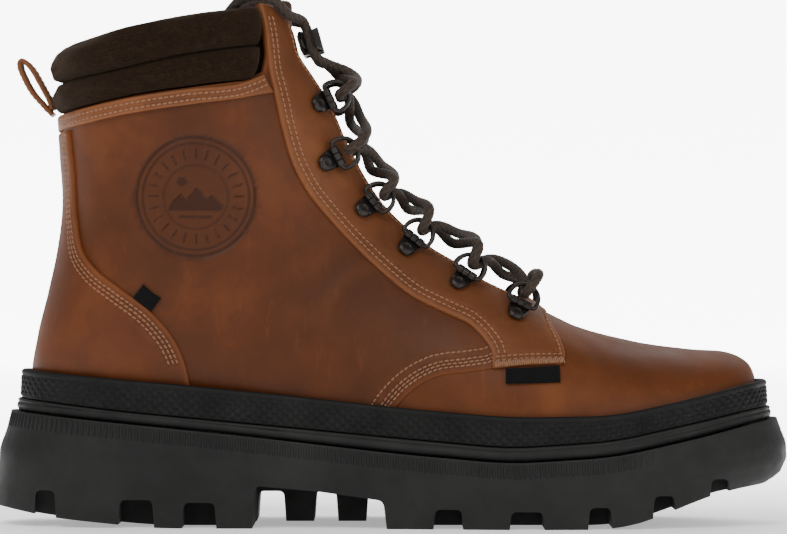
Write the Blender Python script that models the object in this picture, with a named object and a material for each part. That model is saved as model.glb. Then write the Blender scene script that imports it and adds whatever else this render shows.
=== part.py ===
"""Insulated hunting boot, right foot.

Metres, +Z up, toe toward +X, outer (lateral) side toward -Y, standing on z = 0.
The numbers below are millimetres and are scaled by MM where meshes are made.
"""
import math

import bmesh
import bpy
import numpy as np
from mathutils import Matrix, Vector
from mathutils.bvhtree import BVHTree

MM = 0.001
GAP = 0.3            # clearance between pieces that touch

# Layers of the upper, as distances outward from the leather's outer face: (outside, inside)
LEATHER = (0.0, -1.6)
OVERLAY = (1.7, 0.3)
PADDING = (-1.9, -4.4)
LINING = (-4.7, -5.9)
FOOTBED_SIDE = -6.3

# Section lines from the toe to the collar. Each runs from the sole or the back of the boot to its
# top or front: (x, z) and (x, z), then half width, shift of the middle toward the inner side,
# height of the widest point as a share of the line, roundness below and above it.
FAN = [
    (144.8, 50.0, 145.2, 54.0, 5.0, 6.0, 0.50, 2.0, 2.0),
    (142.0, 45.0, 144.5, 58.5, 16.0, 6.2, 0.48, 2.2, 2.0),
    (135.5, 39.5, 141.3, 64.2, 28.0, 6.3, 0.42, 2.6, 2.0),
    (124.0, 33.5, 133.0, 68.0, 37.0, 6.0, 0.36, 3.0, 2.1),
    (108.0, 29.3, 118.0, 69.3, 43.5, 4.5, 0.33, 3.5, 2.1),
    (88.0, 26.3, 97.0, 72.2, 47.5, 2.5, 0.32, 3.8, 2.1),
    (64.0, 25.0, 75.0, 77.8, 49.0, 0.5, 0.30, 4.0, 2.1),
    (40.0, 25.0, 57.5, 86.0, 48.0, -0.5, 0.30, 4.0, 2.1),
    (15.0, 26.6, 43.0, 95.4, 45.0, -0.5, 0.31, 3.8, 2.1),
    (-15.0, 29.3, 29.5, 103.2, 42.0, 0.0, 0.33, 3.5, 2.1),
    (-48.0, 33.6, 17.5, 110.6, 40.0, 0.0, 0.36, 3.2, 2.1),
    (-82.0, 37.2, 6.0, 119.9, 39.0, 0.0, 0.40, 2.8, 2.1),
    (-112.0, 40.0, -1.2, 127.0, 38.5, 0.0, 0.43, 2.5, 2.1),
    (-133.5, 44.5, -7.0, 134.8, 38.5, 0.0, 0.45, 2.3, 2.1),
    (-142.3, 57.0, -12.0, 143.3, 38.8, 0.0, 0.46, 2.2, 2.1),
    (-140.5, 74.0, -16.8, 152.5, 39.3, 0.0, 0.47, 2.2, 2.1),
    (-136.0, 93.0, -21.5, 163.5, 40.0, 0.0, 0.48, 2.2, 2.1),
    (-132.4, 110.0, -27.5, 174.5, 41.0, 0.0, 0.49, 2.2, 2.1),
    (-130.6, 128.0, -34.5, 185.0, 42.0, 0.0, 0.50, 2.2, 2.1),
    (-131.6, 146.0, -38.6, 196.5, 43.0, 0.0, 0.50, 2.2, 2.1),
    (-132.7, 163.0, -42.5, 206.0, 44.0, 0.0, 0.50, 2.2, 2.1),
    (-133.5, 180.0, -46.0, 214.0, 44.5, 0.0, 0.50, 2.2, 2.1),
    (-134.0, 197.0, -49.0, 223.0, 44.5, 0.0, 0.50, 2.2, 2.1),
]
FAN_TOP = len(FAN) - 1
FAN_ROWS = list(range(11)) + [12, 13, 14, 16, 18, 20, FAN_TOP]
RING_COUNT = 18      # points round one section

# Side-view outlines (x, z). The lines are shared by the pieces that meet along them.
FEATHER = [(-165, 50), (-146, 48.5), (-133, 47), (-112, 43), (-82, 40.2), (-48, 36.6), (-15, 32.3),
           (15, 29.6), (40, 28), (64, 28), (88, 29.3), (108, 32.3), (124, 36.8), (135, 42.6),
           (143, 49), (160, 50)]
FACING_EDGE = [(50.5, 88.2), (43.6, 91.6), (33.2, 96.8), (25.6, 102), (14.4, 108.8), (3.6, 117.6),
               (-3.6, 124.8), (-9.6, 132.8), (-14.8, 141.6), (-19.6, 150.8), (-23.2, 159.6),
               (-27.6, 168.8), (-32.8, 176.8), (-38.8, 186), (-41.6, 196), (-44.4, 203)]
COLLAR_LINE = [(-160, 156), (-131.2, 162.8), (-104, 168.6), (-81.2, 172), (-58, 175.2)]
FACING_BACK = [(-51.2, 179), (-49.8, 186), (-50.6, 193.6), (-53.2, 205.6)]
VAMP_SEAM = [(-7, 20), (-4, 38), (0.8, 46.5), (8.2, 54.2), (16.4, 58.8), (30.2, 61), (40, 63),
             (47, 69), (51, 76), (53, 84), (57, 100)]
HEEL_EDGE = [(-127.8, 156.2), (-126, 140), (-124.9, 120.4), (-121.6, 106.9), (-116.7, 100.9),
             (-107.6, 93.9), (-95.1, 84.4), (-85.6, 72.9), (-82.2, 65.4), (-79, 52), (-77, 41)]
EYESTAY_EDGE = [(-53.4, 206), (-50.9, 193.6), (-50.1, 186), (-49.4, 180.2), (-46.9, 169.6),
                (-44, 156.6), (-39.6, 142), (-33.8, 131.2), (-24.9, 120.3), (-13.8, 108.4),
                (-2.8, 98.2), (6.4, 90.9), (21, 83.5), (30.2, 79), (34.7, 74.4), (38.3, 68.8),
                (38.7, 62.3), (67.9, 63.6), (66, 70.8), (62.4, 78), (60, 84), (61, 100)]
COLLAR_GROOVE = [(-150, 172.6), (-133, 175), (-109, 178.9), (-87, 184.2), (-64, 188), (-50, 189.8)]
COLLAR_TOP = [(-150, 186.5), (-128, 190.6), (-120.8, 193), (-104, 196.8), (-81.2, 201.2),
              (-54.4, 205.2), (-45, 206.5)]

# Sole side-view lines (x, z)
FOXING_TOP = [(-160, 62.6), (-79.3, 55.5), (-44.3, 52.1), (1.6, 47.1), (45.2, 43.4), (85.8, 43.9),
              (116.2, 50.2), (146, 57.6)]
BEAD_TOP = [(-160, 51.5), (-104, 45.1), (-74.2, 42.4), (1.6, 35.2), (45.2, 31.4), (85.8, 34),
            (116.2, 40.5), (149, 47.4)]
RIM = [(-160, 46), (-104, 40.6), (-64.2, 36.7), (1.6, 29.3), (45.2, 25.6), (85.8, 28),
       (116.2, 34.4), (150, 42.4)]
TREAD = [(-160, 8), (-152, 7.4), (-142, 5), (-132, 3.6), (-108, 1.4), (-94, 0), (87, 0), (100, 3.4),
         (110, 7.3), (123, 12.4), (132, 14.5), (148, 16.6), (160, 17)]
NOTCHES = [(-141.5, -132, 14.4), (-107.8, -93.3, 11), (-82.8, -68.9, 10), (15.3, 27.4, 7.7),
           (44.8, 59, 6.9), (75.3, 85.3, 8.5), (100.6, 110.4, 12.8), (123.3, 132.3, 19)]
NOTCH_INNER = 23.0   # the notches end this far from the middle line
ARCH = [(-55.5, -5), (-54, 16.6), (-30, 14.6), (-4, 11), (-2, -5)]
ARCH_INNER = 8.0     # the arch is open from the outer side up to here
ARCH_OVERLAP = 0.5   # the inner windows start this far inside the arch
ARCH_GAP_ROOF = 12.0
ARCH_LUGS = [(-43, -32), (-22, -11)]
CUP_FLOOR = [(-160, 24), (-130, 18.8), (-100, 15.2), (-60, 19), (0, 17), (15, 12), (90, 12),
             (105, 16.5), (128, 22.8), (160, 30)]
CUP_WALL = 4.4
FOXING_WALL = 2.2
BEAD_PROUD = 1.5
RIM_PROUD = 4.2

SHANK_LINE = [(row[0], row[1]) for row in FAN if -95 < row[0] < 30]
SHANK_TOP = -0.8     # its faces above the lower line of the upper
SHANK_THICKNESS = 1.6
SHANK_HALF = 12.0
SHANK_LINE_CLEAR = 6.0   # its pocket is open upward by this much
WIDE = 130.0         # half length of the cutters that pass right through

# Lace hardware
RIVETS = [(47.3, 81.9), (24.8, 94.1), (3.9, 107.9), (-13.4, 123.7), (-28.2, 142.6), (-31.5, 165.6)]
HOOK_AT = (-38.6, 189.9)
PLATE_LIFT = 2.45    # underside of a ring plate above the leather
BARREL_AT = 5.4      # rivet to the ring's axis
BARREL_RADIUS = 1.85
BARREL_BORE = 1.25
BARREL_LENGTH = 8.2
BARREL_SIDES = 8
HEAD_RADIUS = 3.0    # rivet head: foot, top, height and height of its middle
HEAD_TOP_RADIUS = 1.7
HEAD_HEIGHT = 1.5
HEAD_MIDDLE = 1.4
PLATE_SHEET = 0.8
WIRE_RADIUS = 0.85
RING_DEPTH = 8.6
RING_HALF = 5.9
RING_TILT = math.radians(24)
LACE_RADIUS = 1.9
LACE_TURN = 3.6      # radius of the lace's turn round a ring
LACE_STEP = 5.5


def catmull(values, position):
    """Smooth value of a table at a fractional row, by Catmull-Rom."""
    table = np.asarray(values, dtype=float)
    last = len(table) - 1
    row = min(int(position), last - 1)
    t = position - row
    before = table[row - 1] if row > 0 else 2 * table[0] - table[1]
    after = table[row + 2] if row + 2 <= last else 2 * table[last] - table[last - 1]
    a, b = table[row], table[row + 1]
    return 0.5 * (2 * a + (b - before) * t + (2 * before - 5 * a + 4 * b - after) * t * t
                  + (3 * a - before - 3 * b + after) * t ** 3)


def height_on(line, x):
    """Height of a side-view line at x."""
    points = sorted(line)
    return float(np.interp(x, [p[0] for p in points], [p[1] for p in points]))


# ---------------------------------------------------------------- the foot-shaped base surface

def sock_point(s, a):
    """Point of the base surface: s along the fan, a round the section from its lower end."""
    gx, gz, tx, tz, width, shift, waist, lower, upper = catmull(FAN, s)
    power = 2 / (lower if math.cos(a) > 0 else upper)
    side = abs(math.sin(a)) ** power
    rise = abs(math.cos(a)) ** power
    h = waist * (1 - rise) if math.cos(a) > 0 else waist + (1 - waist) * rise
    y = shift - math.copysign(width * side, math.sin(a))
    return Vector((gx + (tx - gx) * h, y, gz + (tz - gz) * h))


def sock_normal(s, a):
    step = 0.03
    along = sock_point(min(s + step, FAN_TOP), a) - sock_point(max(s - step, 0), a)
    around = sock_point(s, a + step) - sock_point(s, a - step)
    return around.cross(along).normalized()


def lifted(s, a, lift):
    return sock_point(s, a) + sock_normal(s, a) * lift


def locate(x, z):
    """Fan row and section angle of the surface point seen at (x, z) from the outer side."""
    low, high = 0.0, float(FAN_TOP)
    for _ in range(40):
        middle = (low + high) / 2
        gx, gz, tx, tz = catmull(FAN, middle)[:4]
        if (tx - gx) * (z - gz) - (tz - gz) * (x - gx) > 0:
            low = middle
        else:
            high = middle
    gx, gz, tx, tz, _, _, waist, lower, upper = catmull(FAN, low)
    h = ((x - gx) * (tx - gx) + (z - gz) * (tz - gz)) / ((tx - gx) ** 2 + (tz - gz) ** 2)
    h = min(max(h, 0.0), 1.0)
    if h < waist:
        return low, math.acos((1 - h / waist) ** (lower / 2))
    return low, math.pi - math.acos(((h - waist) / (1 - waist)) ** (upper / 2))


def on_sock(x, z, lift=0.0, side=1):
    """Surface point at side view (x, z): side 1 is the outer side, -1 the inner."""
    s, a = locate(x, z)
    return lifted(s, side * a, lift)


# ---------------------------------------------------------------- mesh helpers

def clear_scene():
    for item in list(bpy.data.objects):
        bpy.data.objects.remove(item, do_unlink=True)


def material(name, colour, roughness, metallic=0.0):
    made = bpy.data.materials.new(name)
    made.use_nodes = True
    shader = made.node_tree.nodes["Principled BSDF"]
    shader.inputs["Base Color"].default_value = (*colour, 1.0)
    shader.inputs["Roughness"].default_value = roughness
    shader.inputs["Metallic"].default_value = metallic
    made.diffuse_color = (*colour, 1.0)
    return made


def mesh_object(name, points, faces, finish=None, smooth=40):
    """Object from points in millimetres."""
    mesh = bpy.data.meshes.new(name)
    mesh.from_pydata([Vector(p) * MM for p in points], [], faces)
    mesh.validate()
    if smooth:
        mesh.shade_smooth()
        mesh.set_sharp_from_angle(angle=math.radians(smooth))
    made = bpy.data.objects.new(name, mesh)
    bpy.context.collection.objects.link(made)
    if finish:
        mesh.materials.append(finish)
    return made


def rows_solid(rows, closed_rows=False, turned_from=None):
    """Faces of a grid of equal rows, every row a ring. closed_rows joins the last row to the first.

    Quads are split along one diagonal, and along the other one from row turned_from on.
    """
    count, size = len(rows), len(rows[0])
    points = [p for row in rows for p in row]
    faces = []
    for r in range(count if closed_rows else count - 1):
        for c in range(size):
            d = (c + 1) % size
            e = (r + 1) % count
            corners = (r * size + c, r * size + d, e * size + d, e * size + c)
            if turned_from is not None and r >= turned_from:
                corners = corners[1:] + corners[:1]
            faces += [(corners[0], corners[1], corners[2]), (corners[0], corners[2], corners[3])]
    if not closed_rows:
        faces.append(tuple(reversed(range(size))))
        faces.append(tuple((count - 1) * size + c for c in range(size)))
    return points, faces


def outward(mesh):
    work = bmesh.new()
    work.from_mesh(mesh)
    bmesh.ops.recalc_face_normals(work, faces=work.faces)
    work.to_mesh(mesh)
    work.free()


def boolean(target, cutters, operation):
    """Cuts or joins with the exact solver, applied at once; the cutters are removed."""
    for cutter in cutters:
        step = target.modifiers.new(operation, "BOOLEAN")
        step.operation = operation
        step.solver = "EXACT"
        step.object = cutter
    graph = bpy.context.evaluated_depsgraph_get()
    graph.update()
    made = bpy.data.meshes.new_from_object(target.evaluated_get(graph))
    target.modifiers.clear()
    made.name = target.name
    target.data = made
    for cutter in cutters:
        bpy.data.objects.remove(cutter, do_unlink=True)
    work = bmesh.new()
    work.from_mesh(made)
    bmesh.ops.remove_doubles(work, verts=work.verts, dist=0.00002)
    bmesh.ops.dissolve_degenerate(work, edges=work.edges, dist=0.00001)
    work.to_mesh(made)
    work.free()
    return target


def prism(outline, y0, y1):
    """Cutter with a side-view outline, from y0 to y1."""
    rows = [[(x, y, z) for x, z in outline] for y in (y0, y1)]
    cutter = mesh_object("cutter", *rows_solid(rows), smooth=0)
    outward(cutter.data)
    cutter.hide_render = True
    cutter.display_type = "WIRE"
    return cutter


def shown_prism(name, outline, half, finish):
    """Solid with a side-view outline, as wide on both sides of the middle."""
    made = prism(outline, -half, half)
    made.name = made.data.name = name
    made.hide_render = False
    made.display_type = "TEXTURED"
    made.data.materials.append(finish)
    return made


def section_row(s, lift):
    return [lifted(s, 2 * math.pi * c / RING_COUNT, lift) for c in range(RING_COUNT)]


def sock_solid(name, lift, first=0):
    """The base surface as one closed solid, from the fan row called first."""
    made = mesh_object(name, *rows_solid([section_row(s, lift) for s in FAN_ROWS[first:]]))
    outward(made.data)
    return made


def sock_shell(name, layer, finish):
    """A layer of the upper, closed at the toe and open at the top."""
    outer, inner = layer
    rows = [section_row(s, outer) for s in FAN_ROWS]
    rows += [section_row(s, inner) for s in FAN_ROWS[::-1]]
    made = mesh_object(name, *rows_solid(rows, turned_from=len(FAN_ROWS)), finish)
    outward(made.data)
    return made


def panel(name, layer, outline, finish, y0=-120.0, y1=120.0, without=()):
    """The part of a layer inside a side-view outline, less the outlines in without."""
    made = sock_shell(name, layer, finish)
    boolean(made, [prism(outline, y0, y1)], "INTERSECT")
    for other in without:
        boolean(made, [prism(other, -WIDE, WIDE)], "DIFFERENCE")
    return made


def moved(line, dx, dz):
    return [(x + dx, z + dz) for x, z in line]


def grown(outline, margin):
    """Closed outline moved outward by a margin along its corners' mean normals."""
    area = sum(x0 * z1 - x1 * z0 for (x0, z0), (x1, z1) in zip(outline, outline[1:] + outline[:1]))
    turn = 1 if area > 0 else -1
    made = []
    for before, here, after in zip(outline[-1:] + outline[:-1], outline, outline[1:] + outline[:1]):
        first = Vector((here[0] - before[0], here[1] - before[1])).normalized()
        second = Vector((after[0] - here[0], after[1] - here[1])).normalized()
        mean = first + second
        normal = Vector((mean.y, -mean.x)).normalized() * turn
        scale = margin / max(0.4, abs(normal.dot(Vector((first.y, -first.x)))))
        made.append((here[0] + normal.x * scale, here[1] + normal.y * scale))
    return made


def feather_run(x_from, x_to, dz=0.0):
    """The lower edge of the upper between two x values, in the order asked for."""
    low, high = min(x_from, x_to), max(x_from, x_to)
    inside = [(x, z + dz) for x, z in FEATHER if low < x < high]
    run = [(low, height_on(FEATHER, low) + dz)] + inside + [(high, height_on(FEATHER, high) + dz)]
    return run if x_from < x_to else run[::-1]


# ---------------------------------------------------------------- the upper

MIDDLE = -0.5        # plane that parts the outer half from the inner half
OUTER_HALF = (-120.0, MIDDLE - GAP / 2 - 0.05)
INNER_HALF = (MIDDLE + GAP / 2 + 0.05, 120.0)
ABOVE_THROAT = (54, 98)
TOE_PUFF = [(105, 90), (102, 62), (108, 48), (124, 46), (150, 56), (170, 60), (170, 90)]
HEEL_STIFFENER = [(-170, 53), (-128, 51), (-95, 46), (-84, 52), (-86, 70), (-100, 88), (-120, 102),
                  (-128, 108), (-170, 108)]
SIDE_TAB = [(43.8, 61.9), (64.8, 62.8), (65, 56.9), (43.8, 56.4)]
HEEL_TAB = [(-101.8, 90.1), (-94.8, 84.8), (-91, 89.9), (-97.9, 95.2)]


def beside(line, distance):
    """Open line moved sideways, to the right of its own heading."""
    made = []
    for k, (x, z) in enumerate(line):
        before, after = line[max(k - 1, 0)], line[min(k + 1, len(line) - 1)]
        heading = Vector((after[0] - before[0], after[1] - before[1])).normalized()
        made.append((x + heading.y * distance, z - heading.x * distance))
    return made


def opening_edge(back):
    """Top and throat boundary shared by the layers of the shaft, from the heel to the throat."""
    top = moved(COLLAR_LINE, 0, -0.5) + moved(FACING_BACK, 0.3, -0.2)
    return top + beside(FACING_EDGE, -back)[::-1] + [ABOVE_THROAT]


def make_upper(paint):
    seam = [point for point in VAMP_SEAM if point[1] > 35]
    seam_foot = -5.3
    vamp_outline = ([(seam_foot + 0.25, height_on(FEATHER, seam_foot))] + moved(seam, 0.25, 0)
                    + [(170, 100)] + feather_run(160, seam_foot + 0.3))
    quarter_outline = (opening_edge(0.6) + moved(seam[::-1], -0.15, 0)
                       + feather_run(seam_foot, -165))
    panel("vamp", LEATHER, vamp_outline, paint["vamp"])
    panel("quarter_lateral", LEATHER, quarter_outline, paint["quarter"], *OUTER_HALF)
    panel("quarter_medial", LEATHER, quarter_outline, paint["quarter"], *INNER_HALF)

    eyestay = EYESTAY_EDGE + [ABOVE_THROAT] + FACING_EDGE + [(-47.5, 205.8)]
    panel("eyestay_lateral", OVERLAY, eyestay, paint["eyestay"], *OUTER_HALF)
    panel("eyestay_medial", OVERLAY, eyestay, paint["eyestay"], *INNER_HALF)
    heel = HEEL_EDGE + feather_run(-77.2, -165) + [(-160, 149.2), (-131.2, 156)]
    panel("heel_panel", OVERLAY, heel, paint["heel"])
    band = (moved(COLLAR_LINE, 0, -0.5) + [(-51.8, 177.8), (-49.8, 178.2), (-48.5, 170.8)]
            + moved(COLLAR_LINE[:0:-1], 0, -6.1) + [(-160, 149.9)])
    panel("collar_band", OVERLAY, band, paint["eyestay"])
    panel("side_tab", OVERLAY, SIDE_TAB, paint["webbing"], -120.0, 0.0)
    panel("heel_tab", OVERLAY, HEEL_TAB, paint["webbing"], -120.0, 0.0)

    panel("toe_puff", PADDING, TOE_PUFF, paint["board"])
    panel("heel_stiffener", PADDING, HEEL_STIFFENER, paint["board"])
    inside = opening_edge(4.6) + [(170, 98), (170, 5), (-170, 5)]
    panel("insulation", PADDING, inside, paint["insulation"],
          without=(grown(TOE_PUFF, GAP), grown(HEEL_STIFFENER, GAP)))
    panel("lining", LINING, opening_edge(6.2) + [(170, 98), (170, 5), (-170, 5)], paint["lining"])
    board = moved(FEATHER, 0, -GAP - 0.1) + [(170, 5), (-170, 5)]
    panel("insole_board", LEATHER, board, paint["board"])

    footbed = sock_solid("footbed", FOOTBED_SIDE, 1)
    footbed.data.materials.append(paint["footbed"])
    boolean(footbed, [prism(moved(FEATHER, 0, 8.8) + [(170, 5), (-170, 5)], -WIDE, WIDE)], "INTERSECT")


def row_on_line(line, a, dz=0.0):
    """Fan row at which the surface, at section angle a, meets a side-view line."""
    low, high = FAN_TOP - 6.0, float(FAN_TOP)
    for _ in range(30):
        middle = (low + high) / 2
        point = sock_point(middle, a)
        if point.z < height_on(line, point.x) + dz:
            low = middle
        else:
            high = middle
    return low


COLLAR_STEPS = 22    # stretches along the collar
COLLAR_FRONT = [(-56.5, 176.0), (-54.4, 189.6), (-54.6, 205.1)]
# Profile of the two rolls: share of the way from the lower edge (0) to the groove (1) and on to the
# top (2), and the distance outward from the base surface.
COLLAR_PROFILE = [(0, 0.5), (0.22, 2.3), (0.5, 3.0), (0.8, 2.4), (1, 0.9), (1.2, 2.7), (1.5, 3.6),
                  (1.8, 2.3), (1.97, -0.6), (2, -3.4), (1.9, -6.6), (1.55, -8.4), (1, -7.8),
                  (0.5, -8.6), (0, -7.2)]


def make_collar(paint):
    """Two soft rolls round the top of the shaft, open at the facings."""
    lines = (COLLAR_LINE, COLLAR_GROOVE, COLLAR_TOP)
    fronts = [locate(x, z)[1] for x, z in COLLAR_FRONT]
    rows = []
    for step in range(-COLLAR_STEPS // 2, COLLAR_STEPS // 2 + 1):
        share = -step / (COLLAR_STEPS // 2)
        angles = [front * share for front in fronts]
        levels = [row_on_line(line, a, 0.7 if line is COLLAR_LINE else 0)
                  for line, a in zip(lines, angles)]
        ring = []
        for place, lift in COLLAR_PROFILE:
            base = min(int(place), 1)
            part = place - base
            s = levels[base] * (1 - part) + levels[base + 1] * part
            a = angles[base] * (1 - part) + angles[base + 1] * part
            ring.append(lifted(s, a, lift))
        rows.append(ring)
    made = mesh_object("padded_collar", *rows_solid(rows), paint["felt"], smooth=60)
    outward(made.data)


TONGUE_ROWS = [6.45, 7.2, 8, 9, 10, 11, 12.2, 13.4, 14.6, 15.8, 17, 18.2, 19.1, 19.8, 20.35]
TONGUE_COLUMNS = 8
TONGUE_BACK = -7.4
TONGUE_THICK = 5.0
TONGUE_HALF = 26.0


def make_tongue(paint):
    """Padded tongue under the facings, its origin at the hinge line above its lower edge."""
    rows = []
    for s in TONGUE_ROWS:
        width = catmull(FAN, s)[4]
        half = TONGUE_HALF / width
        crown = 3.4 + 6.2 * min(max((s - 19.0) / 0.9, 0), 1)
        outer, inner = [], []
        for c in range(TONGUE_COLUMNS + 1):
            share = 2 * c / TONGUE_COLUMNS - 1
            a = math.pi + share * half
            bulge = crown * max(0.0, 1 - (share / 0.45) ** 2) if s > 9.5 else 0.0
            outer.append(lifted(s, a, TONGUE_BACK + bulge))
            inner.append(lifted(s, a, TONGUE_BACK - TONGUE_THICK + 0.5 * bulge))
        rows.append(outer + inner[::-1])
    made = mesh_object("tongue", *rows_solid(rows), paint["tongue"], smooth=60)
    outward(made.data)
    hinge = lifted(TONGUE_ROWS[0], math.pi, TONGUE_BACK - TONGUE_THICK / 2) * MM
    hinge.y = 0
    set_origin(made, Matrix.Translation(hinge))


def set_origin(made, frame):
    """Puts the object's own axes at frame without moving its shape."""
    made.data.transform(frame.inverted())
    made.matrix_world = frame


LOOP_OUTSIDE = [(-135.0, 161.1), (-139.1, 165.1), (-143.7, 170.6), (-146.9, 176.1), (-149.4, 180.9),
                (-150.1, 183.2), (-149.4, 184.9), (-148, 185.4), (-145.7, 184.2), (-142.7, 180.7),
                (-140.9, 177), (-138.8, 173.4), (-136.9, 169.7), (-136.4, 167.4), (-135.0, 163.4)]
LOOP_INSIDE = [(-138.4, 167.4), (-139.9, 168.6), (-144.3, 173.9), (-147.3, 178.8), (-148.4, 182.6),
               (-147.7, 183.7), (-146.3, 182.7), (-144.1, 179.3), (-141.8, 174.9), (-139.1, 169.6)]
LOOP_HALF = 8.0
LOOP_HINGE = (-135.2, 162.3)


def make_pull_loop(paint):
    made = shown_prism("pull_loop", LOOP_OUTSIDE, LOOP_HALF, paint["eyestay"])
    boolean(made, [prism(LOOP_INSIDE, -LOOP_HALF - 2, LOOP_HALF + 2)], "DIFFERENCE")
    set_origin(made, Matrix.Translation(Vector((LOOP_HINGE[0], 0, LOOP_HINGE[1])) * MM))


# ---------------------------------------------------------------- the sole unit

TOE_RAYS = 15
HEEL_RAYS = 13
SIDE_RAYS = 11
TOE_CENTRE = (94.0, 4.8)
HEEL_CENTRE = (-98.0, 0.0)


def rays():
    """Origin and heading of the rays that find the outline of the foot, once round."""
    made = []
    for k in range(TOE_RAYS + 1):
        made.append((*TOE_CENTRE, math.pi * (k / TOE_RAYS - 0.5)))
    for k in range(1, SIDE_RAYS):
        t = k / SIDE_RAYS
        made.append((TOE_CENTRE[0] + (HEEL_CENTRE[0] - TOE_CENTRE[0]) * t,
                     TOE_CENTRE[1] * (1 - t), math.pi / 2))
    for k in range(HEEL_RAYS + 1):
        made.append((*HEEL_CENTRE, math.pi * (k / HEEL_RAYS + 0.5)))
    for k in range(1, SIDE_RAYS):
        t = 1 - k / SIDE_RAYS
        made.append((TOE_CENTRE[0] + (HEEL_CENTRE[0] - TOE_CENTRE[0]) * t,
                     TOE_CENTRE[1] * (1 - t), -math.pi / 2))
    return made


class FootOutline:
    """Plan outline of the foot at the heights that the sole's lines give."""

    def __init__(self):
        points, faces = rows_solid([section_row(s, 0.0) for s in FAN_ROWS])
        self.tree = BVHTree.FromPolygons([tuple(p) for p in points], faces)
        self.rays = rays()

    def reach(self, ray, line, dz=0.0):
        """Distance from the ray's origin to the foot's side on a side-view line."""
        x, y, heading = ray
        direction = Vector((math.cos(heading), math.sin(heading), 0))
        distance = 45.0
        for _ in range(3):
            z = height_on(line, x + direction.x * distance) + dz
            hit = self.tree.ray_cast(Vector((x, y, z)), direction)
            distance = hit[3] or distance
        return distance

    def base(self, ray):
        """Reach of the foxing's inner face, clear of the heel panel at the back."""
        x = ray[0] + math.cos(ray[2]) * 40
        behind = min(max((-40 - x) / 30, 0), 1)
        widest = max(self.reach(ray, FOXING_TOP, 0.5), self.reach(ray, BEAD_TOP))
        return widest + 2.1 + 1.5 * behind

    def point(self, ray, distance, line, dz=0.0):
        x = ray[0] + math.cos(ray[2]) * distance
        y = ray[1] + math.sin(ray[2]) * distance
        return Vector((x, y, height_on(line, x) + dz))


# Profiles of the two bands: (reach beyond the band's outer face, or None for its inner face;
# side-view line; height above that line)
FOXING_PROFILE = [(None, BEAD_TOP, GAP / 2), (0.5, BEAD_TOP, GAP / 2), (0.0, FOXING_TOP, -0.5),
                  (-0.6, FOXING_TOP, 0.0), (None, FOXING_TOP, 0.0)]
BEAD_PROFILE = [(None, RIM, GAP / 2), (-0.4, RIM, GAP / 2), (0.5, RIM, 2.4), (-0.6, BEAD_TOP, -0.6),
                (None, BEAD_TOP, -GAP / 2)]


def band(name, foot, profile, wall, finish):
    """A band round the foot, its wall measured from the foxing's inner face."""
    rows = []
    for ray in foot.rays:
        inner = foot.base(ray)
        row = []
        for reach, line, rise in profile:
            distance = inner if reach is None else inner + wall + reach
            row.append(foot.point(ray, distance, line, rise))
        rows.append(row)
    made = mesh_object(name, *rows_solid(rows, closed_rows=True), finish)
    outward(made.data)


def make_bands(foot, paint):
    """The textured foxing and, below it, the bead that stands on the outsole's rim."""
    band("foxing_band", foot, FOXING_PROFILE, FOXING_WALL, paint["rubber"])
    band("welt_bead", foot, BEAD_PROFILE, FOXING_WALL + BEAD_PROUD, paint["rubber"])


def below(line, dz=0.0):
    return moved(sorted(line), 0, dz) + [(175, -60), (-175, -60)]


def above(line, dz=0.0):
    return moved(sorted(line), 0, dz) + [(175, 90), (-175, 90)]


# Bulge of the outsole's side wall beyond its rim, from the tread (0) to the rim (1)
WALL_LEVELS = [0.0, 0.12, 0.35, 0.6, 0.8, 1.0]
WALL_TOE = [-4.2, 1.2, 4.0, 3.8, 1.8, 0.0]
WALL_HEEL = [5.8, 5.6, 5.0, 4.6, 1.8, 0.0]
WALL_SIDE = [1.0, 1.0, 1.4, 1.0, 0.4, 0.0]
WALL_OUTER = 0.65    # the outer side stands this much further out, the inner side less


def outline_solid(name, foot, proud, wall=None):
    """Upright solid with the foot's outline, proud of the rim's; wall bulges its side."""
    rows = []
    for level in [None] + list(range(len(WALL_LEVELS))) + ["top"] if wall else [None, "top"]:
        row = []
        for ray in foot.rays:
            distance = foot.base(ray) + FOXING_WALL + RIM_PROUD + proud
            forward = math.cos(ray[2])
            if wall:
                k = 0 if level is None else len(WALL_LEVELS) - 1 if level == "top" else level
                end = WALL_TOE[k] if forward > 0 else WALL_HEEL[k]
                share = abs(forward) ** 1.5
                distance += WALL_SIDE[k] * (1 - share) + end * share
                distance -= WALL_OUTER * math.sin(ray[2])
            point = foot.point(ray, distance, RIM)
            if level is None:
                point.z = -4.0
            elif level == "top":
                point.z = 62.0
            else:
                low = height_on(TREAD, point.x)
                point.z = low + (point.z - low) * WALL_LEVELS[level]
            row.append(point)
        rows.append(row)
    made = mesh_object(name, *rows_solid(rows), smooth=35)
    outward(made.data)
    return made


def notch(x0, x1, roof):
    return [(x0 - 0.3, -8), (x1 + 0.3, -8), (x1 - 0.8, roof - 2), (x1 - 2.4, roof), (x0 + 2.4, roof),
            (x0 + 0.8, roof - 2)]


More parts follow.
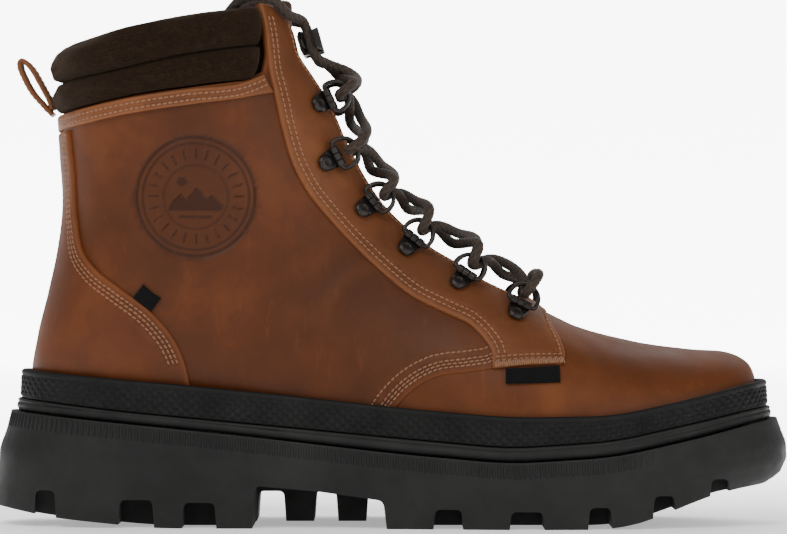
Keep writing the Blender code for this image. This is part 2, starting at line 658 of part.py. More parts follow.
def make_sole(foot, paint):
    outsole = outline_solid("outsole", foot, 0.0, wall=True)
    outsole.data.materials.append(paint["rubber"])
    boolean(outsole, [prism(below(TREAD), -WIDE, WIDE)], "DIFFERENCE")
    boolean(outsole, [prism(above(RIM, -0.15), -WIDE, WIDE)], "DIFFERENCE")
    cup = outline_solid("cup", foot, -CUP_WALL)
    boolean(cup, [prism(below(CUP_FLOOR), -WIDE, WIDE)], "DIFFERENCE")
    boolean(outsole, [cup], "DIFFERENCE")
    cutters = []
    for x0, x1, roof in NOTCHES:
        cutters.append(prism(notch(x0, x1, roof), -WIDE, -NOTCH_INNER))
        cutters.append(prism(notch(x0, x1, roof), NOTCH_INNER, WIDE))
    cutters.append(prism(ARCH, -WIDE, ARCH_INNER))
    arch_gaps = [(-55, ARCH_LUGS[0][0]), (ARCH_LUGS[0][1], ARCH_LUGS[1][0]), (ARCH_LUGS[1][1], -2)]
    for x0, x1 in arch_gaps:
        cutters.append(prism(notch(x0, x1, ARCH_GAP_ROOF), ARCH_INNER - ARCH_OVERLAP, WIDE))
    boolean(outsole, cutters, "DIFFERENCE")

    core = outline_solid("midsole_core", foot, -CUP_WALL - GAP)
    core.data.materials.append(paint["foam"])
    boolean(core, [prism(below(CUP_FLOOR, GAP), -WIDE, WIDE)], "DIFFERENCE")
    boolean(core, [prism(above(RIM, -0.5), -WIDE, WIDE)], "DIFFERENCE")
    boolean(core, [sock_solid("last", GAP + 0.1)], "DIFFERENCE")
    top = moved(SHANK_LINE, 0, SHANK_TOP)
    underside = moved(SHANK_LINE[::-1], 0, SHANK_TOP - SHANK_THICKNESS)
    (front_x, front_z), (back_x, back_z) = underside[-1], underside[0]
    pocket = moved(SHANK_LINE, 0, SHANK_LINE_CLEAR)
    pocket[0] = (pocket[0][0] + GAP, pocket[0][1])
    pocket[-1] = (pocket[-1][0] - GAP, pocket[-1][1])
    pocket += [(back_x - GAP, back_z - GAP)] + moved(underside[1:-1], 0, -GAP)
    pocket += [(front_x + GAP, front_z - GAP)]
    boolean(core, [prism(pocket, -SHANK_HALF - GAP, SHANK_HALF + GAP)], "DIFFERENCE")
    shown_prism("shank", top + underside, SHANK_HALF, paint["steel"])


# ---------------------------------------------------------------- lace and its hardware

def surface_frame(x, z, side, edge):
    """Point and axes on the facing: along it, toward the throat, and outward."""
    s, a = locate(x, z)
    point = sock_point(s, side * a)
    normal = sock_normal(s, side * a)
    ahead = on_sock(x + edge.x * 2, z + edge.y * 2, 0, side)
    along = (ahead - point)
    along = (along - normal * along.dot(normal)).normalized()
    inward = normal.cross(along) if side > 0 else along.cross(normal)
    if inward.y * side < 0:
        inward = -inward
    along = inward.cross(normal)
    return point, along, inward, normal


def edge_heading(x, z):
    """Heading of the facing's edge nearest to a side-view point, toward the top."""
    nearest = min(range(len(FACING_EDGE) - 1),
                  key=lambda k: abs((FACING_EDGE[k][0] + FACING_EDGE[k + 1][0]) / 2 - x)
                  + abs((FACING_EDGE[k][1] + FACING_EDGE[k + 1][1]) / 2 - z))
    first, second = FACING_EDGE[nearest], FACING_EDGE[nearest + 1]
    return Vector((second[0] - first[0], second[1] - first[1])).normalized()


def frame_matrix(origin, along, inward, normal):
    made = Matrix((along, inward, normal)).transposed().to_4x4()
    made.translation = origin * MM
    return made


def cylinder(radius, length, sides, axis_matrix):
    """Closed cylinder about its own Z, placed by a matrix in millimetres."""
    work = bmesh.new()
    bmesh.ops.create_cone(work, cap_ends=True, segments=sides, radius1=radius, radius2=radius,
                          depth=length, matrix=axis_matrix)
    mesh = bpy.data.meshes.new("cylinder")
    work.to_mesh(mesh)
    work.free()
    mesh.transform(Matrix.Scale(MM, 4))
    made = bpy.data.objects.new("cylinder", mesh)
    bpy.context.collection.objects.link(made)
    return made


PLATE_OUTLINE = [(-4.1, BARREL_AT), (-4.1, 3.9), (-3.2, -1.2), (-1.8, -3.1), (1.8, -3.1), (3.2, -1.2),
                 (4.1, 3.9), (4.1, BARREL_AT)]


def plate_mesh(paint):
    """Plate, barrel and rivet head in one; the rivet at the origin, the barrel along X."""
    rows = [[(x, y, z) for x, y in PLATE_OUTLINE] for z in (0.0, PLATE_SHEET)]
    plate = mesh_object("plate", *rows_solid(rows))
    outward(plate.data)
    across = Matrix.Translation((0, BARREL_AT, BARREL_RADIUS)) @ Matrix.Rotation(math.pi / 2, 4, "Y")
    across = across @ Matrix.Rotation(math.pi / BARREL_SIDES, 4, "Z")
    boolean(plate, [cylinder(BARREL_RADIUS, BARREL_LENGTH, BARREL_SIDES, across)], "UNION")
    work = bmesh.new()
    bmesh.ops.create_cone(work, cap_ends=True, segments=BARREL_SIDES, radius1=HEAD_RADIUS,
                          radius2=HEAD_TOP_RADIUS, depth=HEAD_HEIGHT,
                          matrix=Matrix.Translation((0, 0, HEAD_MIDDLE)))
    mesh = bpy.data.meshes.new("head")
    work.to_mesh(mesh)
    work.free()
    mesh.transform(Matrix.Scale(MM, 4))
    head = bpy.data.objects.new("head", mesh)
    bpy.context.collection.objects.link(head)
    boolean(plate, [head], "UNION")
    boolean(plate, [cylinder(BARREL_BORE, BARREL_LENGTH + 4, BARREL_SIDES, across)], "DIFFERENCE")
    mesh = plate.data
    mesh.materials.clear()
    mesh.materials.append(paint["metal"])
    bpy.data.objects.remove(plate, do_unlink=True)
    return mesh


RING_PATH = [(-4.7, 0), (4.7, 0), (RING_HALF, 1.5), (5.6, 4.6), (3.8, 7.3), (0, RING_DEPTH),
             (-3.8, 7.3), (-5.6, 4.6), (-RING_HALF, 1.5)]


def curve_object(name, points, radius, rings, finish, closed=False):
    curve = bpy.data.curves.new(name, "CURVE")
    curve.dimensions = "3D"
    curve.bevel_depth = radius * MM
    curve.bevel_resolution = rings
    curve.use_fill_caps = not closed
    spline = curve.splines.new("POLY")
    spline.points.add(len(points) - 1)
    for point, place in zip(spline.points, points):
        point.co = (*(Vector(place) * MM), 1)
    spline.use_cyclic_u = closed
    curve.materials.append(finish)
    made = bpy.data.objects.new(name, curve)
    bpy.context.collection.objects.link(made)
    return made


class Station:
    """One ring or hook station on one side, with the places that the lace needs."""

    def __init__(self, x, z, side):
        self.side = side
        frame = surface_frame(x, z, side, edge_heading(x, z))
        self.point, self.along, self.inward, self.normal = frame
        self.up = self.along if self.along.z > 0 else -self.along
        self.axis = self.point + self.normal * (PLATE_LIFT + BARREL_RADIUS) + self.inward * BARREL_AT
        self.reach = self.inward * math.cos(RING_TILT) + self.normal * math.sin(RING_TILT)
        self.over = self.normal * math.cos(RING_TILT) - self.inward * math.sin(RING_TILT)
        self.wire = self.axis + self.reach * RING_DEPTH

    def turn(self, top_first):
        """Lace points round the ring's far wire, inside the ring."""
        angles = [90, 135, 180, 225, 270]
        points = []
        for k, angle in enumerate(angles if top_first else angles[::-1]):
            t = math.radians(angle)
            slip = self.up * (k - 2) * 0.5
            points.append(self.wire + self.reach * (LACE_TURN * math.cos(t))
                          + self.over * (LACE_TURN * math.sin(t)) + slip)
        return points

    def at(self, up, inward, normal):
        return self.point + self.up * up + self.inward * inward + self.normal * normal


HOOK_PROFILE = [(-4.5, 0), (3.6, 0), (5.0, 1.4), (5.3, 4.2), (4.2, 6.6), (2.0, 7.4), (-3.4, 6.7),
                (-3.5, 5.8), (2.0, 6.5), (3.4, 5.8), (4.3, 4.1), (4.0, 1.9), (3.2, 0.9), (-4.5, 0.9)]
HOOK_HALF = 5.0


def crossing(lower, upper, height):
    """Middle point between two stations' rows, lifted off the tongue."""
    middle = (lower[0].wire + lower[1].wire + upper[0].wire + upper[1].wire) / 4
    outward_way = lower[0].normal + lower[1].normal + upper[0].normal + upper[1].normal
    outward_way.y = 0
    middle.y = MIDDLE
    return middle + outward_way.normalized() * height


CROSS_LIFT = 1.2
CROSS_HALF = 2.2


def half_route(rows, hooks, side_index):
    """Lace points from the middle of the lowest bar to the end inside the shaft."""
    bar = (rows[0][0].wire + rows[0][1].wire) / 2
    route = [bar + (rows[0][0].over + rows[0][1].over).normalized() * (LACE_TURN + 0.6)]
    route += rows[0][side_index].turn(True)
    side = side_index
    for k in range(1, len(rows)):
        height = CROSS_LIFT + (CROSS_HALF if side_index == 0 else -CROSS_HALF)
        route.append(crossing(rows[k - 1], rows[k], height))
        side = 1 - side
        route += rows[k][side].turn(False)
    side = 1 - side
    hook = hooks[side]
    last = rows[-1]
    height = CROSS_LIFT + 2 + (CROSS_HALF if side_index == 0 else -CROSS_HALF)
    middle = (last[0].wire + last[1].wire + hooks[0].at(-9, 11, 6) + hooks[1].at(-9, 11, 6)) / 4
    middle.y = MIDDLE
    way = last[0].normal + last[1].normal
    way.y = 0
    route.append(middle + way.normalized() * height)
    route += [hook.at(-9.5, 8, 7.4), hook.at(-7.0, 2.6, 6.2), hook.at(-3, 0.7, 5.9),
              hook.at(3, 0.6, 5.9), hook.at(7.5, 0.4, 5.6)]
    sign = hook.side
    route += [on_sock(-45.5, 200.5, 4.6, sign), on_sock(-50.5, 205.6, 3.0, sign) + Vector((0, 0, 1.2)),
              on_sock(-55.5, 207.4, -4.0, sign) + Vector((0, 0, 1.8)),
              on_sock(-59.5, 202.0, -11.4, sign), on_sock(-62, 192, -12.4, sign),
              on_sock(-63, 178, -12.0, sign), on_sock(-62, 162, -10.6, sign),
              on_sock(-58, 146, -10.0, sign)]
    return route


def sampled(route, step):
    """Points of a smooth curve through a route, about a step apart, without overshoot."""
    gaps = [(b - a).length for a, b in zip(route, route[1:])]
    slopes = [(b - a) / gap for a, b, gap in zip(route, route[1:], gaps)]
    tangents = [slopes[0]]
    for k in range(1, len(route) - 1):
        tangents.append((slopes[k - 1] * gaps[k] + slopes[k] * gaps[k - 1]) / (gaps[k - 1] + gaps[k]))
    tangents.append(slopes[-1])
    made = []
    for k, gap in enumerate(gaps):
        parts = max(1, round(gap / step))
        for j in range(parts):
            t = j / parts
            late = 3 * t * t - 2 * t ** 3
            bend = tangents[k] * (t ** 3 - 2 * t * t + t) + tangents[k + 1] * (t ** 3 - t * t)
            made.append(route[k] * (1 - late) + route[k + 1] * late + bend * gap)
    return made + [route[-1]]


def make_lacing(paint):
    rows = [(Station(x, z, 1), Station(x, z, -1)) for x, z in RIVETS]
    hooks = (Station(*HOOK_AT, 1), Station(*HOOK_AT, -1))
    plate = plate_mesh(paint)
    ring = None
    for number, pair in enumerate(rows, 1):
        for station, name in zip(pair, ("lateral", "medial")):
            holder = bpy.data.objects.new(f"ring_plate_{name}_{number}", plate)
            bpy.context.collection.objects.link(holder)
            holder.matrix_world = frame_matrix(station.point + station.normal * PLATE_LIFT,
                                               station.along, station.inward, station.normal)
            path = [(x, y, 0) for x, y in RING_PATH]
            if ring is None:
                made = curve_object(f"d_ring_{name}_{number}", path, WIRE_RADIUS, 1, paint["metal"],
                                    closed=True)
                ring = made.data
            else:
                made = bpy.data.objects.new(f"d_ring_{name}_{number}", ring)
                bpy.context.collection.objects.link(made)
            made.matrix_world = frame_matrix(station.axis, station.along, station.reach, station.over)
    for hook, name in zip(hooks, ("lateral", "medial")):
        profile = [[(x, y, z) for y, z in HOOK_PROFILE] for x in (-HOOK_HALF, HOOK_HALF)]
        made = mesh_object(f"lace_hook_{name}", *rows_solid(profile), paint["metal"])
        outward(made.data)
        made.matrix_world = frame_matrix(hook.point + hook.normal * (PLATE_LIFT + 0.2), hook.along,
                                         hook.inward, hook.normal)
    outer = half_route(rows, hooks, 0)
    inner = half_route(rows, hooks, 1)
    lace = sampled(outer[:0:-1] + inner, LACE_STEP)
    curve_object("lace", lace, LACE_RADIUS, 1, paint["lace"])


def main():
    clear_scene()
    paint = {
        "vamp": material("leather_vamp", (0.118, 0.034, 0.009), 0.45),
        "quarter": material("leather_quarter", (0.10, 0.028, 0.009), 0.5),
        "heel": material("leather_heel", (0.145, 0.05, 0.02), 0.5),
        "eyestay": material("leather_facing", (0.189, 0.067, 0.025), 0.5),
        "felt": material("felt", (0.03, 0.018, 0.01), 0.95),
        "lining": material("lining", (0.03, 0.022, 0.016), 0.9),
        "tongue": material("tongue_leather", (0.05, 0.02, 0.01), 0.7),
        "insulation": material("insulation", (0.6, 0.58, 0.5), 0.9),
        "board": material("board", (0.5, 0.4, 0.28), 0.8),
        "footbed": material("footbed", (0.05, 0.05, 0.05), 0.9),
        "foam": material("foam", (0.2, 0.2, 0.2), 0.9),
        "rubber": material("rubber", (0.016, 0.016, 0.015), 0.6),
        "webbing": material("webbing", (0.012, 0.012, 0.012), 0.8),
        "lace": material("lace", (0.046, 0.036, 0.023), 0.85),
        "metal": material("gunmetal", (0.03, 0.025, 0.022), 0.35, 0.9),
        "steel": material("steel", (0.4, 0.4, 0.42), 0.4, 1.0),
    }
    make_upper(paint)
    make_collar(paint)
    make_tongue(paint)
    make_pull_loop(paint)
    foot = FootOutline()
    make_bands(foot, paint)
    make_sole(foot, paint)
    make_lacing(paint)


main()
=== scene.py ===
"""Looks of the insulated hunting boot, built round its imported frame. Lengths are millimetres until
a mesh is made, where MM turns them into metres."""
import math

import bmesh
import bpy
import numpy as np
from mathutils import Matrix, Vector, kdtree, noise
from mathutils.bvhtree import BVHTree
from mathutils.geometry import delaunay_2d_cdt


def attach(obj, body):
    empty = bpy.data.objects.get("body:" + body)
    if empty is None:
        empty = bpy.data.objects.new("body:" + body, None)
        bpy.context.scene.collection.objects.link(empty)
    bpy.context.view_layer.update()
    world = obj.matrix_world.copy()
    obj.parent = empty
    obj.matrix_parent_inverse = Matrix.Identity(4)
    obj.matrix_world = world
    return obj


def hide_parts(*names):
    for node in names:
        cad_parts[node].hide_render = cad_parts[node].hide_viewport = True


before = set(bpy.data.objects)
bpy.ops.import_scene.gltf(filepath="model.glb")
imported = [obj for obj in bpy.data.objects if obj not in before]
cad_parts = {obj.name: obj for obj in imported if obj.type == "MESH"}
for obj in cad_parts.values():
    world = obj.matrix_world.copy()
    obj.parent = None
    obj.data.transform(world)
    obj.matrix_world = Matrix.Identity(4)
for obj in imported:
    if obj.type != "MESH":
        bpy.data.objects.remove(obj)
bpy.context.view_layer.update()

MM = 0.001
rng = np.random.default_rng(7)

# ---------------------------------------------------------------- camera, floor and light
VIEW_WIDTH = 0.3148      # metres across the picture at the boot's middle plane
VIEW_DISTANCE = 1.9
VIEW_HEIGHT = 0.102
FLOOR_HALF = 3.0
PAPER_GLOW = {"From Min": 0.1, "From Max": 0.9, "To Min": 0.45, "To Max": 5.0}    # brighter toward the back


def look_at(item, target):
    heading = Vector(target) - item.location
    item.rotation_euler = heading.to_track_quat("-Z", "Y").to_euler()


def make_camera():
    data = bpy.data.cameras.new("camera")
    data.sensor_width = 36.0
    data.lens = 36.0 * VIEW_DISTANCE / VIEW_WIDTH
    data.clip_start = 0.05
    camera = bpy.data.objects.new("camera", data)
    bpy.context.collection.objects.link(camera)
    camera.location = (0.0, -VIEW_DISTANCE, VIEW_HEIGHT)
    look_at(camera, (0.0, 0.0, VIEW_HEIGHT))
    bpy.context.scene.camera = camera


def make_light(name, place, target, size, power):
    data = bpy.data.lights.new(name, "AREA")
    data.shape = "RECTANGLE"
    data.size, data.size_y = size
    data.energy = power
    lamp = bpy.data.objects.new(name, data)
    bpy.context.collection.objects.link(lamp)
    lamp.location = place
    look_at(lamp, target)


def make_sheet(name, corners, material):
    mesh = bpy.data.meshes.new(name)
    mesh.from_pydata(corners, [], [(0, 1, 2, 3)])
    mesh.materials.append(material)
    sheet = bpy.data.objects.new(name, mesh)
    bpy.context.collection.objects.link(sheet)
    return sheet


def make_paper():
    paper = bpy.data.materials.new("paper")
    paper.use_nodes = True
    nodes, links = paper.node_tree.nodes, paper.node_tree.links
    shader = nodes["Principled BSDF"]
    shader.inputs["Base Color"].default_value = (0.93, 0.93, 0.93, 1)
    shader.inputs["Roughness"].default_value = 0.9
    shader.inputs["Emission Color"].default_value = (1, 1, 1, 1)
    split = nodes.new("ShaderNodeSeparateXYZ")
    glow = nodes.new("ShaderNodeMapRange")
    for key, value in PAPER_GLOW.items():
        glow.inputs[key].default_value = value
    links.new(nodes.new("ShaderNodeTexCoord").outputs["Object"], split.inputs["Vector"])
    links.new(split.outputs["Y"], glow.inputs["Value"])
    links.new(glow.outputs["Result"], shader.inputs["Emission Strength"])
    return paper


def make_stage():
    """Pale floor and backdrop, an even sky and three soft lamps."""
    half, paper = FLOOR_HALF, make_paper()
    level = [(-half, -half, 0), (half, -half, 0), (half, half, 0), (-half, half, 0)]
    upright = [(-half, half, 0), (half, half, 0), (half, half, half), (-half, half, half)]
    floor = make_sheet("floor", level, paper)
    wall = make_sheet("backdrop", upright, paper)
    wall.visible_glossy = False
    world = bpy.data.worlds.new("studio")
    world.use_nodes = True
    world.node_tree.nodes["Background"].inputs["Color"].default_value = (1, 1, 1, 1)
    world.node_tree.nodes["Background"].inputs["Strength"].default_value = 0.38
    bpy.context.scene.world = world
    make_light("key", (-0.5, -1.1, 1.3), (0, 0, 0.1), (1.0, 0.8), 15)
    make_light("fill", (0.9, -1.0, 0.5), (0.02, 0, 0.1), (0.8, 0.8), 4.5)
    make_light("rim", (0.2, 1.2, 1.0), (0, 0, 0.12), (1.2, 0.5), 3)


make_camera()
make_stage()

# ---------------------------------------------------------------- the base surface, as in the CAD
FAN = np.array([
    (144.8, 50.0, 145.2, 54.0, 5.0, 6.0, 0.50, 2.0, 2.0),
    (142.0, 45.0, 144.5, 58.5, 16.0, 6.2, 0.48, 2.2, 2.0),
    (135.5, 39.5, 141.3, 64.2, 28.0, 6.3, 0.42, 2.6, 2.0),
    (124.0, 33.5, 133.0, 68.0, 37.0, 6.0, 0.36, 3.0, 2.1),
    (108.0, 29.3, 118.0, 69.3, 43.5, 4.5, 0.33, 3.5, 2.1),
    (88.0, 26.3, 97.0, 72.2, 47.5, 2.5, 0.32, 3.8, 2.1),
    (64.0, 25.0, 75.0, 77.8, 49.0, 0.5, 0.30, 4.0, 2.1),
    (40.0, 25.0, 57.5, 86.0, 48.0, -0.5, 0.30, 4.0, 2.1),
    (15.0, 26.6, 43.0, 95.4, 45.0, -0.5, 0.31, 3.8, 2.1),
    (-15.0, 29.3, 29.5, 103.2, 42.0, 0.0, 0.33, 3.5, 2.1),
    (-48.0, 33.6, 17.5, 110.6, 40.0, 0.0, 0.36, 3.2, 2.1),
    (-82.0, 37.2, 6.0, 119.9, 39.0, 0.0, 0.40, 2.8, 2.1),
    (-112.0, 40.0, -1.2, 127.0, 38.5, 0.0, 0.43, 2.5, 2.1),
    (-133.5, 44.5, -7.0, 134.8, 38.5, 0.0, 0.45, 2.3, 2.1),
    (-142.3, 57.0, -12.0, 143.3, 38.8, 0.0, 0.46, 2.2, 2.1),
    (-140.5, 74.0, -16.8, 152.5, 39.3, 0.0, 0.47, 2.2, 2.1),
    (-136.0, 93.0, -21.5, 163.5, 40.0, 0.0, 0.48, 2.2, 2.1),
    (-132.4, 110.0, -27.5, 174.5, 41.0, 0.0, 0.49, 2.2, 2.1),
    (-130.6, 128.0, -34.5, 185.0, 42.0, 0.0, 0.50, 2.2, 2.1),
    (-131.6, 146.0, -38.6, 196.5, 43.0, 0.0, 0.50, 2.2, 2.1),
    (-132.7, 163.0, -42.5, 206.0, 44.0, 0.0, 0.50, 2.2, 2.1),
    (-133.5, 180.0, -46.0, 214.0, 44.5, 0.0, 0.50, 2.2, 2.1),
    (-134.0, 197.0, -49.0, 223.0, 44.5, 0.0, 0.50, 2.2, 2.1),
])
FAN_TOP = len(FAN) - 1

FACING_EDGE = [(50.5, 88.2), (43.6, 91.6), (33.2, 96.8), (25.6, 102), (14.4, 108.8), (3.6, 117.6),
               (-3.6, 124.8), (-9.6, 132.8), (-14.8, 141.6), (-19.6, 150.8), (-23.2, 159.6),
               (-27.6, 168.8), (-32.8, 176.8), (-38.8, 186), (-41.6, 196), (-44.4, 203)]
COLLAR_LINE = [(-160, 156), (-131.2, 162.8), (-104, 168.6), (-81.2, 172), (-58, 175.2)]
FACING_BACK = [(-51.2, 179), (-49.8, 186), (-50.6, 193.6), (-53.2, 205.6)]
VAMP_SEAM = [(-6.5, 30), (-4, 38), (0.8, 46.5), (8.2, 54.2), (16.4, 58.8), (30.2, 61), (40, 63), (47, 69),
             (51, 76), (53, 84), (55.5, 93)]
HEEL_EDGE = [(-127.8, 156.2), (-126, 140), (-124.9, 120.4), (-121.6, 106.9), (-116.7, 100.9),
             (-107.6, 93.9), (-95.1, 84.4), (-85.6, 72.9), (-82.2, 65.4), (-79, 50)]
EYESTAY_BACK = [(-53.4, 206), (-50.9, 193.6), (-50.1, 186), (-49.4, 180.2), (-46.9, 169.6),
                (-44, 156.6), (-39.6, 142), (-33.8, 131.2), (-24.9, 120.3), (-13.8, 108.4),
                (-2.8, 98.2), (6.4, 90.9), (21, 83.5), (30.2, 79), (34.7, 74.4), (38.3, 68.8),
                (38.7, 62.3)]
EYESTAY_FOOT = [(38.7, 62.3), (53, 63.4), (67.9, 63.6)]
EYESTAY_TOE = [(67.9, 63.6), (66, 70.8), (62.4, 78), (60.2, 83.4)]
COLLAR_GROOVE = [(-150, 172.6), (-133, 175), (-109, 178.9), (-87, 184.2), (-64, 188), (-50, 189.8)]
COLLAR_TOP = [(-150, 186.5), (-128, 190.6), (-120.8, 193), (-104, 196.8), (-81.2, 201.2),
              (-54.4, 205.2), (-45, 206.5)]
FOXING_TOP = [(-160, 62.6), (-79.3, 55.5), (-44.3, 52.1), (1.6, 47.1), (45.2, 43.4), (85.8, 43.9),
              (116.2, 50.2), (146, 57.6)]
BEAD_TOP = [(-160, 51.5), (-104, 45.1), (-74.2, 42.4), (1.6, 35.2), (45.2, 31.4), (85.8, 34),
            (116.2, 40.5), (149, 47.4)]
RIM = [(-160, 46), (-104, 40.6), (-64.2, 36.7), (1.6, 29.3), (45.2, 25.6), (85.8, 28),
       (116.2, 34.4), (150, 42.4)]
TREAD = [(-160, 8), (-152, 7.4), (-142, 5), (-132, 3.6), (-108, 1.4), (-94, 0), (87, 0), (100, 3.4),
         (110, 7.3), (123, 12.4), (132, 14.5), (148, 16.6), (160, 17)]


def smooth_height(line, x):
    """Height of a side-view line at x, rounded at the line's own points."""
    points = np.array(sorted(line), dtype=float)
    total = 0.0
    for shift in (-9, -4.5, 0, 4.5, 9):
        total = total + np.interp(np.asarray(x) + shift, points[:, 0], points[:, 1])
    return total / 5


def fan(s):
    """Catmull-Rom values of the fan at fractional rows."""
    s = np.clip(np.asarray(s, dtype=float), 0, FAN_TOP)
    row = np.minimum(s.astype(int), FAN_TOP - 1)
    t = (s - row)[:, None]
    ends = np.vstack([2 * FAN[0] - FAN[1], FAN, 2 * FAN[-1] - FAN[-2]])
    before, a, b, after = ends[row], ends[row + 1], ends[row + 2], ends[row + 3]
    return 0.5 * (2 * a + (b - before) * t + (2 * before - 5 * a + 4 * b - after) * t * t
                  + (3 * a - before - 3 * b + after) * t ** 3)


def surface(s, a):
    """Points of the base surface, n by 3."""
    s, a = np.broadcast_arrays(np.asarray(s, dtype=float), np.asarray(a, dtype=float))
    gx, gz, tx, tz, width, shift, waist, lower, upper = fan(s.ravel()).T
    a = a.ravel()
    down = np.cos(a) > 0
    power = 2 / np.where(down, lower, upper)
    side = np.abs(np.sin(a)) ** power
    rise = np.abs(np.cos(a)) ** power
    h = np.where(down, waist * (1 - rise), waist + (1 - waist) * rise)
    y = shift - width * side * np.sign(np.sin(a))
    return np.stack([gx + (tx - gx) * h, y, gz + (tz - gz) * h], axis=1)


def units(vectors):
    return vectors / np.maximum(np.linalg.norm(vectors, axis=1), 1e-9)[:, None]


def slopes(s, a):
    ds, da = 0.03, 0.02
    along = (surface(np.minimum(s + ds, FAN_TOP), a) - surface(np.maximum(s - ds, 0), a))
    along = along / (np.minimum(s + ds, FAN_TOP) - np.maximum(s - ds, 0))[:, None]
    around = (surface(s, a + da) - surface(s, a - da)) / (2 * da)
    return along, around


def normals(s, a):
    along, around = slopes(s, a)
    return units(np.cross(around, along))


def lifted(s, a, lift):
    s, a = np.atleast_1d(s).astype(float), np.atleast_1d(a).astype(float)
    lift = np.broadcast_to(np.asarray(lift, dtype=float), s.shape)
    return surface(s, a) + normals(s, a) * lift[:, None]


def locate(x, z):
    """Rows and angles of the surface points seen at side-view places (outer side)."""
    x, z = np.atleast_1d(x).astype(float), np.atleast_1d(z).astype(float)
    low, high = np.zeros_like(x), np.full_like(x, FAN_TOP)
    for _ in range(36):
        middle = (low + high) / 2
        gx, gz, tx, tz = fan(middle).T[:4]
        ahead = (tx - gx) * (z - gz) - (tz - gz) * (x - gx) > 0
        low = np.where(ahead, middle, low)
        high = np.where(ahead, high, middle)
    gx, gz, tx, tz, _, _, waist, lower, upper = fan(low).T
    h = np.clip(((x - gx) * (tx - gx) + (z - gz) * (tz - gz)) / ((tx - gx) ** 2 + (tz - gz) ** 2), 0, 1)
    down = np.arccos(np.clip(1 - h / waist, 0, 1) ** (lower / 2))
    up = math.pi - np.arccos(np.clip((h - waist) / (1 - waist), 0, 1) ** (upper / 2))
    return low, np.where(h < waist, down, up)


def on_sock(x, z, lift=0.0, side=1):
    s, a = locate(x, z)
    return Vector(lifted(s, side * a, lift)[0])


def spline(points, step=1.0):
    """Even points on a smooth curve through a short list, in any dimension."""
    p = np.asarray(points, dtype=float)
    gaps = np.linalg.norm(np.diff(p, axis=0), axis=1)
    slope = np.diff(p, axis=0) / gaps[:, None]
    tangent = np.vstack([slope[:1], (slope[:-1] * gaps[1:, None] + slope[1:] * gaps[:-1, None])
                         / (gaps[:-1] + gaps[1:])[:, None], slope[-1:]])
    made = []
    for k, gap in enumerate(gaps):
        t = np.linspace(0, 1, max(2, int(gap / step * 3) + 1))[:-1, None]
        made.append(p[k] * (2 * t ** 3 - 3 * t * t + 1) + tangent[k] * gap * (t ** 3 - 2 * t * t + t)
                    + p[k + 1] * (3 * t * t - 2 * t ** 3) + tangent[k + 1] * gap * (t ** 3 - t * t))
    return even(np.vstack(made + [p[-1:]]), step)


def run_along(points):
    """Distance along a polyline at each of its points."""
    return np.concatenate([[0], np.cumsum(np.linalg.norm(np.diff(points, axis=0), axis=1))])


def spaced(run, step):
    return np.linspace(0, run[-1], max(2, int(round(run[-1] / step)) + 1))


def read_at(at, run, table):
    """Rows of a table at places along its run."""
    return np.stack([np.interp(at, run, column) for column in table.T], axis=1)


def even(points, step):
    """The same polyline with points a step apart."""
    points = np.asarray(points, dtype=float)
    run = run_along(points)
    return read_at(spaced(run, step), run, points)


# ---------------------------------------------------------------- unrolled surface

ARC_ROWS = np.linspace(0, FAN_TOP, 8 * FAN_TOP + 1)
ARC_SHARES = np.linspace(0, 1, 241)
ROW_LENGTH = 14.0        # rough size of one row and of half a turn, for even meshes
TURN_LENGTH = 115.0


def arc_table():
    """Section angle at even shares of the way from the lower line to the upper one, by row."""
    fine = np.linspace(0, 1, 721)
    angles = math.pi * (fine - np.sin(4 * math.pi * fine) / (4 * math.pi) * 0.9)
    table = []
    for s in ARC_ROWS:
        points = surface(np.full_like(angles, s), angles)
        run = run_along(points)
        table.append(np.interp(ARC_SHARES, run / run[-1], angles))
    return np.array(table)


ARC_TABLE = arc_table()


def angle_row(s):
    place = min(max(s, 0), FAN_TOP) * 8
    low = min(int(place), len(ARC_ROWS) - 2)
    return ARC_TABLE[low] * (1 - place + low) + ARC_TABLE[low + 1] * (place - low)


def share_of(s, a):
    """Share of the half turn at section angles, lower line 0 and upper line 1."""
    return np.array([np.interp(angle, angle_row(row), ARC_SHARES) for row, angle in zip(s, a)])


def angle_of(s, t):
    """Section angle at shares: 0 to 1 up the outer side, below 0 and above 1 on the inner side."""
    s, t = np.broadcast_arrays(np.asarray(s, dtype=float), np.asarray(t, dtype=float))
    inner = (t < 0) | (t > 1)
    share = np.where(t < 0, -t, np.where(t > 1, 2 - t, t))
    place = np.clip(s, 0, FAN_TOP) * 8
    row = np.clip(place.astype(int), 0, len(ARC_ROWS) - 2)
    column_at = np.clip(share, 0, 1) * (len(ARC_SHARES) - 1)
    column = np.clip(column_at.astype(int), 0, len(ARC_SHARES) - 2)
    p, q = place - row, column_at - column
    angle = ((ARC_TABLE[row, column] * (1 - q) + ARC_TABLE[row, column + 1] * q) * (1 - p)
             + (ARC_TABLE[row + 1, column] * (1 - q) + ARC_TABLE[row + 1, column + 1] * q) * p)
    return np.where(inner, -angle, angle)


def place(domain, lift=0.0):
    """Points of the boot at rows and shares, lifted off the base surface."""
    return lifted(domain[:, 0], angle_of(domain[:, 0], domain[:, 1]), lift)


def unrolled(line, step=1.2):
    """Side-view line as rows and shares on the outer side."""
    xz = spline(line, step) if len(line) > 2 else even(line, step)
    s, a = locate(xz[:, 0], xz[:, 1])
    return np.stack([s, share_of(s, a)], axis=1)


def flat(domain):
    return domain * (ROW_LENGTH, TURN_LENGTH)


def inner_side(path):
    """The same path on the inner side, joined across the back."""
    return path * (1, -1)


def over_top(path):
    """The same path on the inner side, joined across the top."""
    return np.stack([path[:, 0], 2 - path[:, 1]], axis=1)


